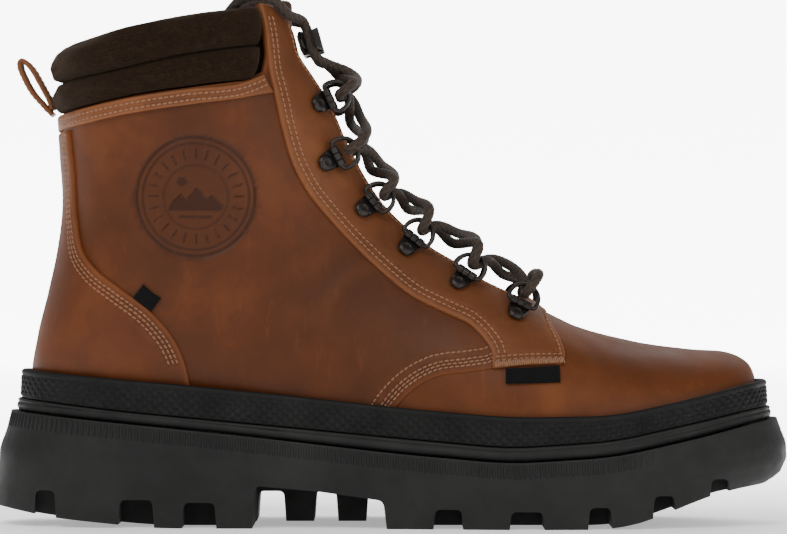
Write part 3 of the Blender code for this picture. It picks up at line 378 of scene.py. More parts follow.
def straight(start, end, step=1.2):
    """Domain path between two places, with points about a step apart."""
    start, end = np.asarray(start, dtype=float), np.asarray(end, dtype=float)
    ends = place(np.array([start + (end - start) * k / 12 for k in range(13)]))
    length = np.linalg.norm(np.diff(ends, axis=0), axis=1).sum()
    count = max(2, int(length / step) + 1)
    return start + (end - start) * np.linspace(0, 1, count)[:, None]


def offset(path, distance):
    """Domain path moved sideways on the boot, to the left of its heading as seen from outside."""
    path = np.array(path, dtype=float)
    for _ in range(4):
        points = place(path)
        heading = units(np.gradient(points, axis=0))
        a = angle_of(path[:, 0], path[:, 1])
        left = np.cross(normals(path[:, 0], a), heading) * distance / 4
        ds, dt = 0.02, 0.002
        along = (place(path + (ds, 0)) - place(path - (ds, 0))) / (2 * ds)
        around = (place(path + (0, dt)) - place(path - (0, dt))) / (2 * dt)
        aa, bb = (along * along).sum(1), (around * around).sum(1)
        ab = (along * around).sum(1)
        la, lb = (left * along).sum(1), (left * around).sum(1)
        det = np.maximum(aa * bb - ab * ab, 1e-6)
        path = path + np.stack([(la * bb - lb * ab) / det, (lb * aa - la * ab) / det], axis=1)
        path[:, 0] = np.clip(path[:, 0], 0, FAN_TOP)
    return path


def respaced(path, step):
    """Domain path with points a step apart on the boot."""
    run = run_along(place(path))
    return read_at(spaced(run, step), run, path)


def part_of(path, start, end):
    """Stretch of a domain path between two shares of its length."""
    run = run_along(place(path))
    return read_at(np.linspace(start, end, len(path)), run / run[-1], path)


def distances(points, targets):
    """Distance from each point to the nearest of the targets."""
    tree = kdtree.KDTree(len(targets))
    for k, target in enumerate(targets):
        tree.insert(target, k)
    tree.balance()
    return np.array([tree.find(point)[2] for point in points])


def waves(points, size, seed=0.0):
    """Smooth noise from -1 to 1 with features of the given size in millimetres."""
    shifted = points / size + seed
    return np.array([noise.noise(point) for point in shifted])


# ---------------------------------------------------------------- meshes

def mesh_piece(name, points, faces, finish, sharp=48, tone=None):
    """Object from points in millimetres. tone is a number per point that tints its material."""
    mesh = bpy.data.meshes.new(name)
    mesh.from_pydata(np.asarray(points, dtype=float) * MM, [], faces)
    mesh.update()
    mesh.shade_smooth()
    if sharp:
        mesh.set_sharp_from_angle(angle=math.radians(sharp))
    if tone is not None:
        mesh.attributes.new("tone", "FLOAT", "POINT").data.foreach_set("value", np.asarray(tone, np.float32))
    mesh.materials.append(finish)
    made = bpy.data.objects.new(name, mesh)
    bpy.context.collection.objects.link(made)
    return made


def grid_faces(rows, columns, wrap_columns=False, wrap_rows=False):
    faces = []
    for r in range(rows if wrap_rows else rows - 1):
        for c in range(columns if wrap_columns else columns - 1):
            d, e = (c + 1) % columns, (r + 1) % rows
            faces.append((r * columns + c, r * columns + d, e * columns + d, e * columns + c))
    return faces


def tube_faces(rows, sides):
    """Faces of closed rings joined in order, with both ends filled."""
    last = (rows - 1) * sides
    ends = [tuple(range(sides))[::-1], tuple(last + c for c in range(sides))]
    return grid_faces(rows, sides, wrap_columns=True) + ends


def face_out(made):
    work = bmesh.new()
    work.from_mesh(made.data)
    bmesh.ops.recalc_face_normals(work, faces=work.faces)
    work.to_mesh(made.data)
    work.free()
    return made


def finished(made, body, slot, *nodes):
    """Hangs a piece on the body it rides on and hides the CAD nodes it stands for; the slot argument is not
    used.
    """
    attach(made, body)
    if nodes:
        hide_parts(*nodes)
    return made


STITCH_LENGTH = 1.75
STITCH_STEP = 2.2
STITCH_RADIUS = 0.34
STITCH_DIP = 0.24
EDGE_ROLL = [(0.0, 0.50), (0.22, 0.16), (0.62, 0.0)]    # distance from the edge, drop of the surface
GRID_ROW = 0.085         # mesh steps inside a sheet, in rows and in shares
GRID_SHARE = 0.0125
SHEET_THICKNESS = 1.5


class Panel:
    """A sheet of leather over the base surface, inside a closed domain outline."""

    def __init__(self, name, outline, top, stitches=(), shape=None, dense=None, spacing=1.0):
        self.name = name
        self.outline = outline
        self.top = top
        self.stitches = list(stitches)
        self.shape = shape
        self.dense = dense
        self.spacing = spacing
        self.edge_points = place(outline)
        rows = [place(row) for row in self.stitches]
        self.stitch_points = np.vstack(rows) if rows else None

    def inside(self, points):
        """Even-odd test in the flat domain."""
        x, y = flat(points).T
        ring = flat(self.outline)
        hit = np.zeros(len(points), dtype=bool)
        for (x0, y0), (x1, y1) in zip(ring, np.roll(ring, -1, axis=0)):
            if y0 != y1:
                cross = (y0 > y) != (y1 > y)
                hit ^= cross & (x < (x1 - x0) * (y - y0) / (y1 - y0) + x0)
        return hit

    def lift(self, domain):
        """Height above the base surface, and the tone of the leather there."""
        points = place(domain)
        d = distances(points, self.edge_points)
        drop = np.interp(d, [p[0] for p in EDGE_ROLL], [p[1] for p in EDGE_ROLL])
        height = self.top - drop
        tone = 0.55 * np.exp(-(d / 0.8) ** 2)
        if self.stitch_points is not None:
            near = distances(points, self.stitch_points)
            height = height - STITCH_DIP * np.exp(-(near / 0.85) ** 2)
            tone = tone + 0.22 * np.exp(-(near / 1.6) ** 2) - 0.3 * np.exp(-(near / 0.5) ** 2)
        height = height + 0.16 * waves(points, 26) + 0.05 * waves(points, 7, 3.7)
        if self.shape:
            more, tint = self.shape(points, domain)
            height, tone = height + more, tone + tint
        return height, tone

    def candidates(self):
        low, high = self.outline.min(0), self.outline.max(0)
        s = np.arange(low[0], high[0], GRID_ROW * self.spacing)
        t = np.arange(low[1], high[1], GRID_SHARE * self.spacing)
        grid = np.stack(np.meshgrid(s, t, indexing="ij"), axis=-1).reshape(-1, 2)
        grid[:, 0] += rng.uniform(-0.01, 0.01, len(grid))
        grid = grid[self.inside(grid)]
        return grid[distances(place(grid), self.edge_points) > 1.25 * self.spacing]

    def build(self, finish):
        turn = 1 if signed_area(flat(self.outline)) > 0 else -1
        rings = [self.outline]
        for distance in (EDGE_ROLL[1][0], EDGE_ROLL[2][0]):
            ring = offset(np.vstack([self.outline[-3:], self.outline, self.outline[:3]]),
                          -distance * turn)[3:-3]
            clear = distances(place(ring), self.edge_points) > distance * 0.8
            rings.append(ring[clear & self.inside(ring)])
        extra = [respaced(row, 1.1) for row in self.stitches]
        body = [self.candidates()] + [row[self.inside(row)] for row in extra]
        if self.dense is not None:
            keep = np.linalg.norm(place(body[0]) - self.dense[0], axis=1) > self.dense[1]
            body[0] = body[0][keep]
            body.append(self.dense[2])
        domain = np.vstack(rings + body)
        count = len(self.outline)
        loop = [(k, (k + 1) % count) for k in range(count)]
        made = delaunay_2d_cdt([Vector(p) for p in flat(domain)], loop, [], 0, 1e-5)
        domain = np.array([tuple(p) for p in made[0]]) / (ROW_LENGTH, TURN_LENGTH)
        triangles = np.array([tuple(f) for f in made[2]])
        triangles = triangles[self.inside(domain[triangles].mean(axis=1))]
        height, tone = self.lift(domain)
        upper = place(domain, height)
        lower = place(domain, height - SHEET_THICKNESS)
        size = len(domain)
        edges = {edge: True for a, b, c in triangles for edge in ((a, b), (b, c), (c, a))}
        rim = [edge for edge in edges if edge[::-1] not in edges]
        faces = [tuple(f) for f in triangles] + [tuple(f[::-1] + size) for f in triangles]
        faces += [(b, a, a + size, b + size) for a, b in rim]
        made = mesh_piece(self.name, np.vstack([upper, lower]), [tuple(int(i) for i in f) for f in faces],
                          finish, tone=np.concatenate([tone, tone]))
        return face_out(made)


def signed_area(ring):
    x, y = ring.T
    return float((x * np.roll(y, -1) - np.roll(x, -1) * y).sum())


SIX_WAYS = [(math.cos(t), math.sin(t)) for t in (2 * math.pi * c / 6 for c in range(6))]


class Beads:
    """Many short closed threads or ribs in one mesh."""

    def __init__(self):
        self.points = []
        self.faces = []

    def add(self, cores, widths, across, up):
        """A six-sided bead round its cores; across and up are its half sizes."""
        start = len(self.points)
        for core, width in zip(cores, widths):
            self.points += [core + (across * x + up * y) * width for x, y in SIX_WAYS]
        self.faces += [tuple(start + i for i in face) for face in tube_faces(len(cores), 6)]

    def build(self, name, finish):
        return face_out(mesh_piece(name, self.points, self.faces, finish, sharp=0))


# place along a stitch, width and rise
THREAD_SHAPE = [(-0.5, 0.25, -0.35), (-0.42, 0.75, -0.05), (-0.2, 1, 0.22), (0.2, 1, 0.22),
                (0.42, 0.75, -0.05), (0.5, 0.25, -0.35)]


def stitch_mesh(name, rows, finish):
    """Threads of stitch rows. Each row is (panel, domain path)."""
    beads = Beads()
    widths = [width for _, width, _ in THREAD_SHAPE]
    for panel, path in rows:
        path = respaced(path, STITCH_STEP)
        middle = (path[1:] + path[:-1]) / 2
        height, _ = panel.lift(middle)
        centres = place(middle, height)
        heading = units(place(path[1:], height) - place(path[:-1], height))
        up = normals(middle[:, 0], angle_of(middle[:, 0], middle[:, 1]))
        side = np.cross(up, heading)
        sway = rng.uniform(-0.06, 0.06, len(centres))
        for k, centre in enumerate(centres):
            lean = heading[k] + side[k] * (0.07 + sway[k])
            cores = [centre + lean * share * STITCH_LENGTH + up[k] * (rise * STITCH_RADIUS + 0.08)
                     for share, _, rise in THREAD_SHAPE]
            beads.add(cores, widths, side[k] * STITCH_RADIUS, up[k] * STITCH_RADIUS)
    return finished(beads.build(name, finish), "root", "lace")


# ---------------------------------------------------------------- materials

def scaled(colour, factor):
    return tuple(v * factor for v in colour)


class Finish:
    """Node material in the object's own coordinates, in metres."""

    def __init__(self, name, colour, roughness, metallic=0.0):
        self.material = bpy.data.materials.new(name)
        self.material.use_nodes = True
        self.tree = self.material.node_tree
        self.shader = self.tree.nodes["Principled BSDF"]
        self.set("Base Color", (*colour, 1))
        self.set("Roughness", roughness)
        self.set("Metallic", metallic)
        self.place = self.node("ShaderNodeTexCoord").outputs["Object"]
        self.bump = None

    def set(self, name, value):
        self.shader.inputs[name].default_value = value

    def node(self, kind, **settings):
        made = self.tree.nodes.new(kind)
        for key, value in settings.items():
            setattr(made, key, value)
        return made

    def link(self, source, target):
        self.tree.links.new(source, target)

    def noise(self, scale, detail=4, roughness=0.55, stretch=None):
        made = self.node("ShaderNodeTexNoise")
        made.inputs["Scale"].default_value = scale
        made.inputs["Detail"].default_value = detail
        made.inputs["Roughness"].default_value = roughness
        self.link(self.stretched(stretch), made.inputs["Vector"])
        return made.outputs["Fac"]

    def stretched(self, stretch):
        if stretch is None:
            return self.place
        mapping = self.node("ShaderNodeMapping")
        mapping.inputs["Scale"].default_value = stretch
        self.link(self.place, mapping.inputs["Vector"])
        return mapping.outputs["Vector"]

    def cells(self, scale, feature="DISTANCE_TO_EDGE"):
        made = self.node("ShaderNodeTexVoronoi", feature=feature)
        made.inputs["Scale"].default_value = scale
        self.link(self.place, made.inputs["Vector"])
        return made.outputs["Distance"]

    def bands(self, scale, direction, distortion=0.0):
        made = self.node("ShaderNodeTexWave", bands_direction=direction)
        made.inputs["Scale"].default_value = scale
        made.inputs["Distortion"].default_value = distortion
        self.link(self.place, made.inputs["Vector"])
        return made.outputs["Fac"]

    def ramp(self, source, low, high, start=0.0, end=1.0):
        """Numbers from low to high as the source goes from start to end."""
        made = self.node("ShaderNodeMapRange")
        self.link(source, made.inputs["Value"])
        for key, value in (("From Min", start), ("From Max", end), ("To Min", low), ("To Max", high)):
            made.inputs[key].default_value = value
        return made.outputs["Result"]

    def math(self, operation, first, second):
        made = self.node("ShaderNodeMath", operation=operation)
        for k, value in enumerate((first, second)):
            if isinstance(value, (int, float)):
                made.inputs[k].default_value = value
            else:
                self.link(value, made.inputs[k])
        return made.outputs["Value"]

    def mix(self, share, first, second):
        """Colour between two colours."""
        made = self.node("ShaderNodeMix", data_type="RGBA")
        self.link(share, made.inputs["Factor"])
        for key, value in (("A", first), ("B", second)):
            socket = [i for i in made.inputs if i.name == key and i.type == "RGBA"][0]
            if isinstance(value, tuple):
                socket.default_value = (*value, 1)
            else:
                self.link(value, socket)
        return [o for o in made.outputs if o.type == "RGBA"][0]

    def tone(self):
        made = self.node("ShaderNodeAttribute", attribute_name="tone")
        return made.outputs["Fac"]

    def colour(self, source):
        self.link(source, self.shader.inputs["Base Color"])

    def roughness(self, source):
        self.link(source, self.shader.inputs["Roughness"])

    def relief(self, source, depth, strength=1.0):
        """Adds a bump; depth is in millimetres."""
        made = self.node("ShaderNodeBump")
        made.inputs["Distance"].default_value = depth * MM
        made.inputs["Strength"].default_value = strength
        self.link(source, made.inputs["Height"])
        if self.bump is not None:
            self.link(self.bump, made.inputs["Normal"])
        self.bump = made.outputs["Normal"]
        self.link(self.bump, self.shader.inputs["Normal"])


def leather(name, base, rough=0.46, spread=1.0):
    """Oiled pull-up leather: cloudy colour, pores, fine creases, lighter where it is bent or worn."""
    finish = Finish(name, base, rough)
    dark = tuple(v * (1 - 0.42 * spread) for v in base)
    light = tuple(min(1, v * (1 + g * spread)) for v, g in zip(base, (0.55, 0.75, 1.1)))
    clouds = finish.noise(14, 5, 0.6)
    patches = finish.noise(46, 6, 0.62)
    mottle = finish.math("ADD", finish.math("MULTIPLY", clouds, 0.65), finish.math("MULTIPLY", patches, 0.35))
    colour = finish.mix(finish.ramp(mottle, 0, 1, 0.36, 0.66), dark, base)
    tone = finish.tone()
    high = finish.math("ADD", finish.ramp(mottle, 0, 0.55, 0.52, 0.75), finish.ramp(tone, 0, 0.8, 0, 0.7))
    colour = finish.mix(high, colour, light)
    # darker where tone is below zero: the pressed badge, the stitch lines and the crease hollows; in the
    # crease hollows this is painted shade
    colour = finish.mix(finish.ramp(tone, 0.85, 0, -0.9, 0), colour, scaled(base, 0.25))
    scuffs = finish.noise(240, 3, 0.7, (1, 1, 0.28))
    colour = finish.mix(finish.ramp(scuffs, 0, 0.28, 0.6, 0.78), colour, light)
    finish.colour(colour)
    finish.roughness(finish.ramp(patches, rough - 0.07, rough + 0.14, 0.3, 0.7))
    finish.relief(finish.noise(110, 6, 0.65), 0.35, 0.5)
    finish.relief(finish.cells(1500), 0.07, 0.55)
    finish.relief(finish.noise(2600, 3, 0.6), 0.04, 0.5)
    finish.set("Specular IOR Level", 0.22)
    return finish.material


def thread(name, base):
    finish = Finish(name, base, 0.62)
    finish.colour(finish.mix(finish.noise(900, 2), scaled(base, 0.45), base))
    finish.relief(finish.bands(1400, "DIAGONAL"), 0.06, 0.6)
    finish.set("Sheen Weight", 0.2)
    return finish.material


def felt(name, base):
    finish = Finish(name, base, 0.95)
    fuzz = finish.noise(1300, 6, 0.75, (0.4, 0.6, 1))
    wool = finish.noise(260, 4, 0.65, (0.5, 0.7, 1))
    colour = finish.mix(finish.ramp(fuzz, 0, 1, 0.3, 0.72), scaled(base, 0.4),
                        scaled(base, 2.9))
    finish.colour(finish.mix(finish.ramp(wool, 0, 0.6, 0.4, 0.7), colour, scaled(base, 0.7)))
    finish.relief(wool, 0.5, 0.5)
    finish.relief(fuzz, 0.25, 0.9)
    finish.set("Sheen Weight", 0.10)
    finish.set("Sheen Roughness", 0.6)
    finish.set("Sheen Tint", (0.5, 0.35, 0.25, 1))
    finish.set("Specular IOR Level", 0.08)
    return finish.material


def woven(name, base, pitch=0.9, rough=0.85):
    """Cloth of two sets of threads."""
    finish = Finish(name, base, rough)
    scale = 1 / (pitch * MM) / 3.2
    cross = finish.math("MULTIPLY", finish.bands(scale, "X", 0.4), finish.bands(scale, "Z", 0.4))
    finish.colour(finish.mix(cross, scaled(base, 0.5), scaled(base, 1.5)))
    finish.relief(cross, 0.2, 0.8)
    finish.relief(finish.noise(1500, 3), 0.1, 0.5)
    finish.set("Sheen Weight", 0.04)
    finish.set("Specular IOR Level", 0.15)
    return finish.material


def rubber(name, base, rough=0.56):
    finish = Finish(name, base, rough)
    dust = finish.noise(34, 6, 0.65)
    finish.colour(finish.mix(finish.ramp(dust, 0, 1, 0.35, 0.7), scaled(base, 0.75),
                             scaled(base, 1.35)))
    finish.roughness(finish.ramp(finish.noise(90, 5, 0.6), rough - 0.08, rough + 0.14, 0.3, 0.7))
    finish.relief(finish.noise(1500, 4, 0.6), 0.045, 0.6)
    finish.relief(finish.noise(60, 3), 0.18, 0.25)
    finish.set("Specular IOR Level", 0.24)
    return finish.material


def gunmetal(name, base, rough=0.32, metallic=0.85):
    finish = Finish(name, base, rough, metallic)
    wear = finish.noise(420, 5, 0.7)
    finish.colour(finish.mix(finish.ramp(wear, 0, 0.5, 0.55, 0.75), base, scaled(base, 2.6)))
    finish.roughness(finish.ramp(wear, rough - 0.06, rough + 0.18, 0.3, 0.7))
    finish.relief(finish.noise(1100, 3), 0.03, 0.5)
    return finish.material


def cord_weave(name, base):
    finish = Finish(name, base, 0.8)
    fleck = finish.cells(1300, "F1")
    tone = finish.tone()
    colour = finish.mix(finish.ramp(fleck, 0, 1, 0.25, 0.7), scaled(base, 1.5), base)
    rust = (base[0] * 3.2, base[1] * 2.0, base[2] * 1.3)
    colour = finish.mix(finish.ramp(finish.noise(500, 2), 0, 0.6, 0.55, 0.68), colour, rust)
    # painted shade: darker in the braid's low places between strands, where tone is low
    finish.colour(finish.mix(finish.ramp(tone, 0.8, 0, 0, 0.5), colour, scaled(base, 0.25)))
    finish.relief(finish.noise(2400, 3), 0.08, 0.7)
    finish.set("Sheen Weight", 0.06)
    return finish.material


def fibrous(name, base, rough=0.9):
    finish = Finish(name, base, rough)
    strands = finish.noise(320, 6, 0.7, (1, 0.3, 1))
    finish.colour(finish.mix(strands, scaled(base, 0.6), tuple(min(1, v * 1.25) for v in base)))
    finish.relief(strands, 0.3, 0.6)
    return finish.material


PAINT = {
    "vamp": leather("oiled_vamp_leather", (0.128, 0.034, 0.0065), 0.45),
    "quarter": leather("oiled_side_leather", (0.108, 0.0285, 0.0060), 0.49, 1.1),
    "heel": leather("oiled_heel_leather", (0.120, 0.0320, 0.0075), 0.5),
    "facing": leather("waxed_facing_leather", (0.152, 0.0480, 0.0145), 0.48),
    "tongue": leather("tongue_leather_dark", (0.045, 0.0150, 0.0060), 0.55),
    "thread": thread("tan_thread", (0.36, 0.155, 0.062)),
    "felt": felt("brown_wool_felt", (0.0098, 0.0053, 0.0026)),
    "lining": felt("brushed_knit_lining", (0.016, 0.011, 0.008)),
    "webbing": woven("black_woven_tape", (0.0035, 0.0035, 0.0038), 0.7),
    "footbed": woven("footbed_knit", (0.06, 0.055, 0.05), 1.4),
    "rubber": rubber("moulded_rubber", (0.0135, 0.0135, 0.0128), 0.6),
    "foxing": rubber("textured_rubber", (0.0050, 0.0050, 0.0047), 0.62),
    "lace": cord_weave("braided_lace", (0.030, 0.0170, 0.0090)),
    "metal": gunmetal("dark_gunmetal", (0.035, 0.030, 0.027)),
    "steel": gunmetal("spring_steel", (0.40, 0.40, 0.42), 0.35, 1.0),
    "batting": fibrous("wool_batting", (0.60, 0.58, 0.50)),
    "board": fibrous("fibre_board", (0.50, 0.40, 0.28), 0.8),
    "foam": fibrous("closed_cell_foam", (0.20, 0.20, 0.20)),
}

# ---------------------------------------------------------------- lace

RIVETS = [(47.3, 81.9), (24.8, 94.1), (3.9, 107.9), (-13.4, 123.7), (-28.2, 142.6), (-31.5, 165.6)]
HOOK_AT = (-38.6, 189.9)
PLATE_LIFT = 2.45
BARREL_AT = 5.4
BARREL_RADIUS = 1.85
BARREL_BORE = 1.25
WIRE_RADIUS = 0.85
RING_DEPTH = 8.6
RING_HALF = 5.9
RING_TILT = math.radians(24)
LACE_RADIUS = 1.95
LACE_STEP = 0.62
LACE_SIDES = 20
LACE_STRANDS = 5
LACE_LAY = 3.2           # way along the lace in which the braid's pattern comes round
LACE_TURN = 3.6          # radius of the lace's way round a ring's wire
MIDDLE = -0.5
CROSS_LIFT = 1.2
CROSS_HALF = 2.2


class Station:
    """One ring or hook on one side, with the places that the lace needs."""

    def __init__(self, x, z, side):
        self.side = side
        nearest = min(range(len(FACING_EDGE) - 1),
                      key=lambda k: abs((FACING_EDGE[k][0] + FACING_EDGE[k + 1][0]) / 2 - x)
                      + abs((FACING_EDGE[k][1] + FACING_EDGE[k + 1][1]) / 2 - z))
        first, second = FACING_EDGE[nearest], FACING_EDGE[nearest + 1]
        edge = Vector((second[0] - first[0], second[1] - first[1])).normalized()
        s, a = locate(x, z)
        self.point = Vector(surface(s, side * a)[0])
        self.normal = Vector(normals(s, side * a)[0])
        along = on_sock(x + edge.x * 2, z + edge.y * 2, 0, side) - self.point
        along = (along - self.normal * along.dot(self.normal)).normalized()
        self.inward = self.normal.cross(along)
        if self.inward.y * side < 0:
            self.inward = -self.inward
        self.along = self.inward.cross(self.normal)
        self.up = self.along if self.along.z > 0 else -self.along
        self.axis = self.point + self.normal * (PLATE_LIFT + BARREL_RADIUS) + self.inward * BARREL_AT
        self.reach = self.inward * math.cos(RING_TILT) + self.normal * math.sin(RING_TILT)
        self.over = self.normal * math.cos(RING_TILT) - self.inward * math.sin(RING_TILT)
        self.wire = self.axis + self.reach * RING_DEPTH

    def turn(self, top_first):
        """Lace points round the ring's far wire, inside the ring."""
        angles = [90, 135, 180, 225, 270]
        points = []
        for k, angle in enumerate(angles if top_first else angles[::-1]):
            t = math.radians(angle)
            points.append(self.wire + self.reach * (LACE_TURN * math.cos(t))
                          + self.over * (LACE_TURN * math.sin(t)) + self.up * (k - 2) * 0.5)
        return points

    def at(self, up, inward, normal):
        return self.point + self.up * up + self.inward * inward + self.normal * normal


def framed(origin, along, inward, normal):
    made = Matrix((along, inward, normal)).transposed().to_4x4()
    made.translation = origin * MM
    return made


STATIONS = [(Station(x, z, 1), Station(x, z, -1)) for x, z in RIVETS]
HOOKS = (Station(*HOOK_AT, 1), Station(*HOOK_AT, -1))


def crossing(lower, upper, height):
    middle = (lower[0].wire + lower[1].wire + upper[0].wire + upper[1].wire) / 4
    way = lower[0].normal + lower[1].normal + upper[0].normal + upper[1].normal
    way.y = 0
    middle.y = MIDDLE
    return middle + way.normalized() * height


def half_route(side_index):
    """Lace points from the middle of the lowest bar to the end inside the shaft."""
    first = STATIONS[0]
    bar = (first[0].wire + first[1].wire) / 2
    route = [bar + (first[0].over + first[1].over).normalized() * (LACE_TURN + 0.6)]
    route += first[side_index].turn(True)
    side = side_index
    half = CROSS_HALF if side_index == 0 else -CROSS_HALF
    for lower, upper in zip(STATIONS, STATIONS[1:]):
        route.append(crossing(lower, upper, CROSS_LIFT + half))
        side = 1 - side
        route += upper[side].turn(False)
    hook = HOOKS[1 - side]
    last = STATIONS[-1]
    middle = (last[0].wire + last[1].wire + HOOKS[0].at(-9, 11, 6) + HOOKS[1].at(-9, 11, 6)) / 4
    middle.y = MIDDLE
    way = last[0].normal + last[1].normal
    way.y = 0
    route.append(middle + way.normalized() * (CROSS_LIFT + 2 + half))
    route += [hook.at(-9.5, 8, 7.4), hook.at(-7.0, 2.6, 6.2), hook.at(-3, 0.7, 5.9),
              hook.at(3, 0.6, 5.9), hook.at(7.5, 0.4, 5.6)]
    sign = hook.side
    route += [on_sock(-45.5, 200.5, 4.6, sign), on_sock(-50.5, 205.6, 3.0, sign) + Vector((0, 0, 1.2)),
              on_sock(-55.5, 207.4, -4.0, sign) + Vector((0, 0, 1.8)),
              on_sock(-59.5, 202.0, -11.4, sign), on_sock(-62, 192, -12.4, sign),
              on_sock(-63, 178, -12.0, sign), on_sock(-62, 162, -10.6, sign),
              on_sock(-58, 146, -10.0, sign)]
    return route


def tube_frames(path):
    """Two steady cross directions along a path."""
    tangent = units(np.gradient(path, axis=0))
    side = np.zeros_like(path)
    start = np.cross(tangent[0], (0.0, 0.0, 1.0))
    side[0] = start / np.linalg.norm(start)
    for k in range(1, len(path)):
        turned = side[k - 1] - tangent[k] * np.dot(side[k - 1], tangent[k])
        side[k] = turned / np.linalg.norm(turned)
    return side, np.cross(tangent, side)


def tube(path, radii):
    """Points and faces of a closed-ended tube whose radius changes by station and angle."""
    side, up = tube_frames(path)
    angle = np.linspace(0, 2 * math.pi, radii.shape[1], endpoint=False)
    points = (path[:, None] + side[:, None] * (np.cos(angle)[None, :, None] * radii[..., None])
              + up[:, None] * (np.sin(angle)[None, :, None] * radii[..., None])).reshape(-1, 3)
    return points, tube_faces(*radii.shape)


def make_lace():
    """One braided lace from end to end: strands run both ways round it, over and under."""
    outer, inner = half_route(0), half_route(1)
    path = spline([tuple(p) for p in outer[:0:-1] + inner], LACE_STEP)
    angle = np.linspace(0, 2 * math.pi, LACE_SIDES, endpoint=False)[None, :]
    run = np.arange(len(path))[:, None] * LACE_STEP
    turn = 2 * math.pi * run / LACE_LAY
    right, left = (0.5 + 0.5 * np.cos(LACE_STRANDS * angle + way * turn) for way in (-1, 1))
    over = np.maximum(right ** 0.7, left ** 0.7)
    end = np.minimum(run, run[::-1])
    radii = (LACE_RADIUS - 0.42 + 0.52 * over) * np.clip(0.55 + end / 1.6, 0, 1)
    points, faces = tube(path, radii)
    # tone is the strands' height: the lace material paints shade into the low places between strands from it
    made = mesh_piece("braided_lace", points, faces, PAINT["lace"], sharp=0, tone=over.ravel() - 0.45)
    finished(face_out(made), "root", "lace", "lace")


make_lace()


# ---------------------------------------------------------------- lace hardware

def rounded(outline, radius, steps=4):
    """Closed outline with its corners cut to short arcs."""
    made = []
    count = len(outline)
    for k in range(count):
        before, here, after = (np.array(outline[(k + j) % count], dtype=float) for j in (-1, 0, 1))
        r = min(radius, np.linalg.norm(here - before) * 0.45, np.linalg.norm(after - here) * 0.45)
        a = here + (before - here) / np.linalg.norm(before - here) * r
        b = here + (after - here) / np.linalg.norm(after - here) * r
        for j in range(steps + 1):
            t = j / steps
            made.append(tuple(a * (1 - t) ** 2 + here * 2 * t * (1 - t) + b * t * t))
    return made


def slab(outline, low, high, edge=0.22):
    """Closed plate with softened edges, its outline in X and Y."""
    ring = np.array(outline)
    centre = ring.mean(axis=0)
    shrink = 1 - edge / np.linalg.norm(ring - centre, axis=1).mean()
    rings = []
    for factor, z in ((shrink, low), (1, low + edge), (1, high - edge), (shrink, high)):
        flat_ring = centre + (ring - centre) * factor
        rings.append(np.column_stack([flat_ring, np.full(len(ring), z)]))
    return np.vstack(rings), tube_faces(4, len(ring))


def turned(profile, sides=24):
    """Solid of revolution about Z from (radius, z) points; it starts and ends on the axis."""
    angle = np.linspace(0, 2 * math.pi, sides, endpoint=False)
    points = [(r * math.cos(t), r * math.sin(t), z) for r, z in profile for t in angle]
    return np.array(points), tube_faces(len(profile), sides)


def joined(parts):
    points, faces, start = [], [], 0
    for part_points, part_faces in parts:
        points.append(np.asarray(part_points, dtype=float))
        faces += [tuple(int(i) + start for i in face) for face in part_faces]
        start += len(part_points)
    return np.vstack(points), faces


PLATE_OUTLINE = [(-3.9, BARREL_AT - 0.4), (-4.0, 3.6), (-3.3, -1.0), (-2.0, -3.2), (2.0, -3.2), (3.3, -1.0),
                 (4.0, 3.6), (3.9, BARREL_AT - 0.4)]
DOME = [(0.01, 0.5), (3.3, 0.5), (3.35, 0.85), (3.15, 1.25), (2.6, 1.62), (1.9, 1.86), (1.5, 1.9),
        (1.3, 1.72), (0.9, 1.66), (0.01, 1.66)]
RING_PATH = [(-4.7, 0), (0, 0), (4.7, 0), (5.6, 0.35), (RING_HALF, 1.5), (5.6, 4.6), (3.8, 7.3),
             (0, RING_DEPTH), (-3.8, 7.3), (-5.6, 4.6), (-RING_HALF, 1.5), (-5.6, 0.35)]


def barrel():
    """Three rolled lugs about X that hold the ring."""
    angle = np.linspace(0, 2 * math.pi, 20, endpoint=False)
    parts = []
    for x0, x1 in ((-4.05, -1.55), (-1.3, 1.3), (1.55, 4.05)):
        rings = []
        for r, x in ((BARREL_BORE, x0), (BARREL_RADIUS - 0.15, x0), (BARREL_RADIUS, x0 + 0.15),
                     (BARREL_RADIUS, x1 - 0.15), (BARREL_RADIUS - 0.15, x1), (BARREL_BORE, x1)):
            rings.append(np.column_stack([np.full(20, x), BARREL_AT + r * np.cos(angle),
                                          BARREL_RADIUS + r * np.sin(angle)]))
        parts.append((np.vstack(rings), grid_faces(6, 20, wrap_columns=True, wrap_rows=True)))
    return joined(parts)


def shared_piece(name, mesh, matrix):
    made = bpy.data.objects.new(name, mesh)
    bpy.context.collection.objects.link(made)
    made.matrix_world = matrix
    return made


def template(name, points, faces, sharp=40):
    made = face_out(mesh_piece(name, points, faces, PAINT["metal"], sharp=sharp))
    mesh = made.data
    bpy.data.objects.remove(made, do_unlink=True)
    return mesh


def make_rings():
    plate = template("plate", *joined([slab(rounded(PLATE_OUTLINE, 1.2), 0.0, 0.8), barrel(), turned(DOME)]))
    path = spline(RING_PATH + RING_PATH[:1], 0.5)[:-1]
    count, sides = len(path), 12
    heading = units(np.roll(path, -1, axis=0) - np.roll(path, 1, axis=0))
    out = np.column_stack([heading[:, 1], -heading[:, 0]])
    angle = np.linspace(0, 2 * math.pi, sides, endpoint=False)
    points = np.array([(*(path[k] + out[k] * WIRE_RADIUS * math.cos(t)), WIRE_RADIUS * math.sin(t))
                       for k in range(count) for t in angle])
    ring = template("ring", points, grid_faces(count, sides, wrap_columns=True, wrap_rows=True), 0)
    for number, pair in enumerate(STATIONS, 1):
        for station, side in zip(pair, ("lateral", "medial")):
            matrix = framed(station.point + station.normal * PLATE_LIFT, station.along, station.inward,
                            station.normal)
            finished(shared_piece(f"riveted_plate_{side}_{number}", plate, matrix), "root", "gunmetal",
                     f"ring_plate_{side}_{number}")
            matrix = framed(station.axis, station.along, station.reach, station.over)
            finished(shared_piece(f"wire_ring_{side}_{number}", ring, matrix), f"d_ring_{side}_{number}",
                     "gunmetal", f"d_ring_{side}_{number}")


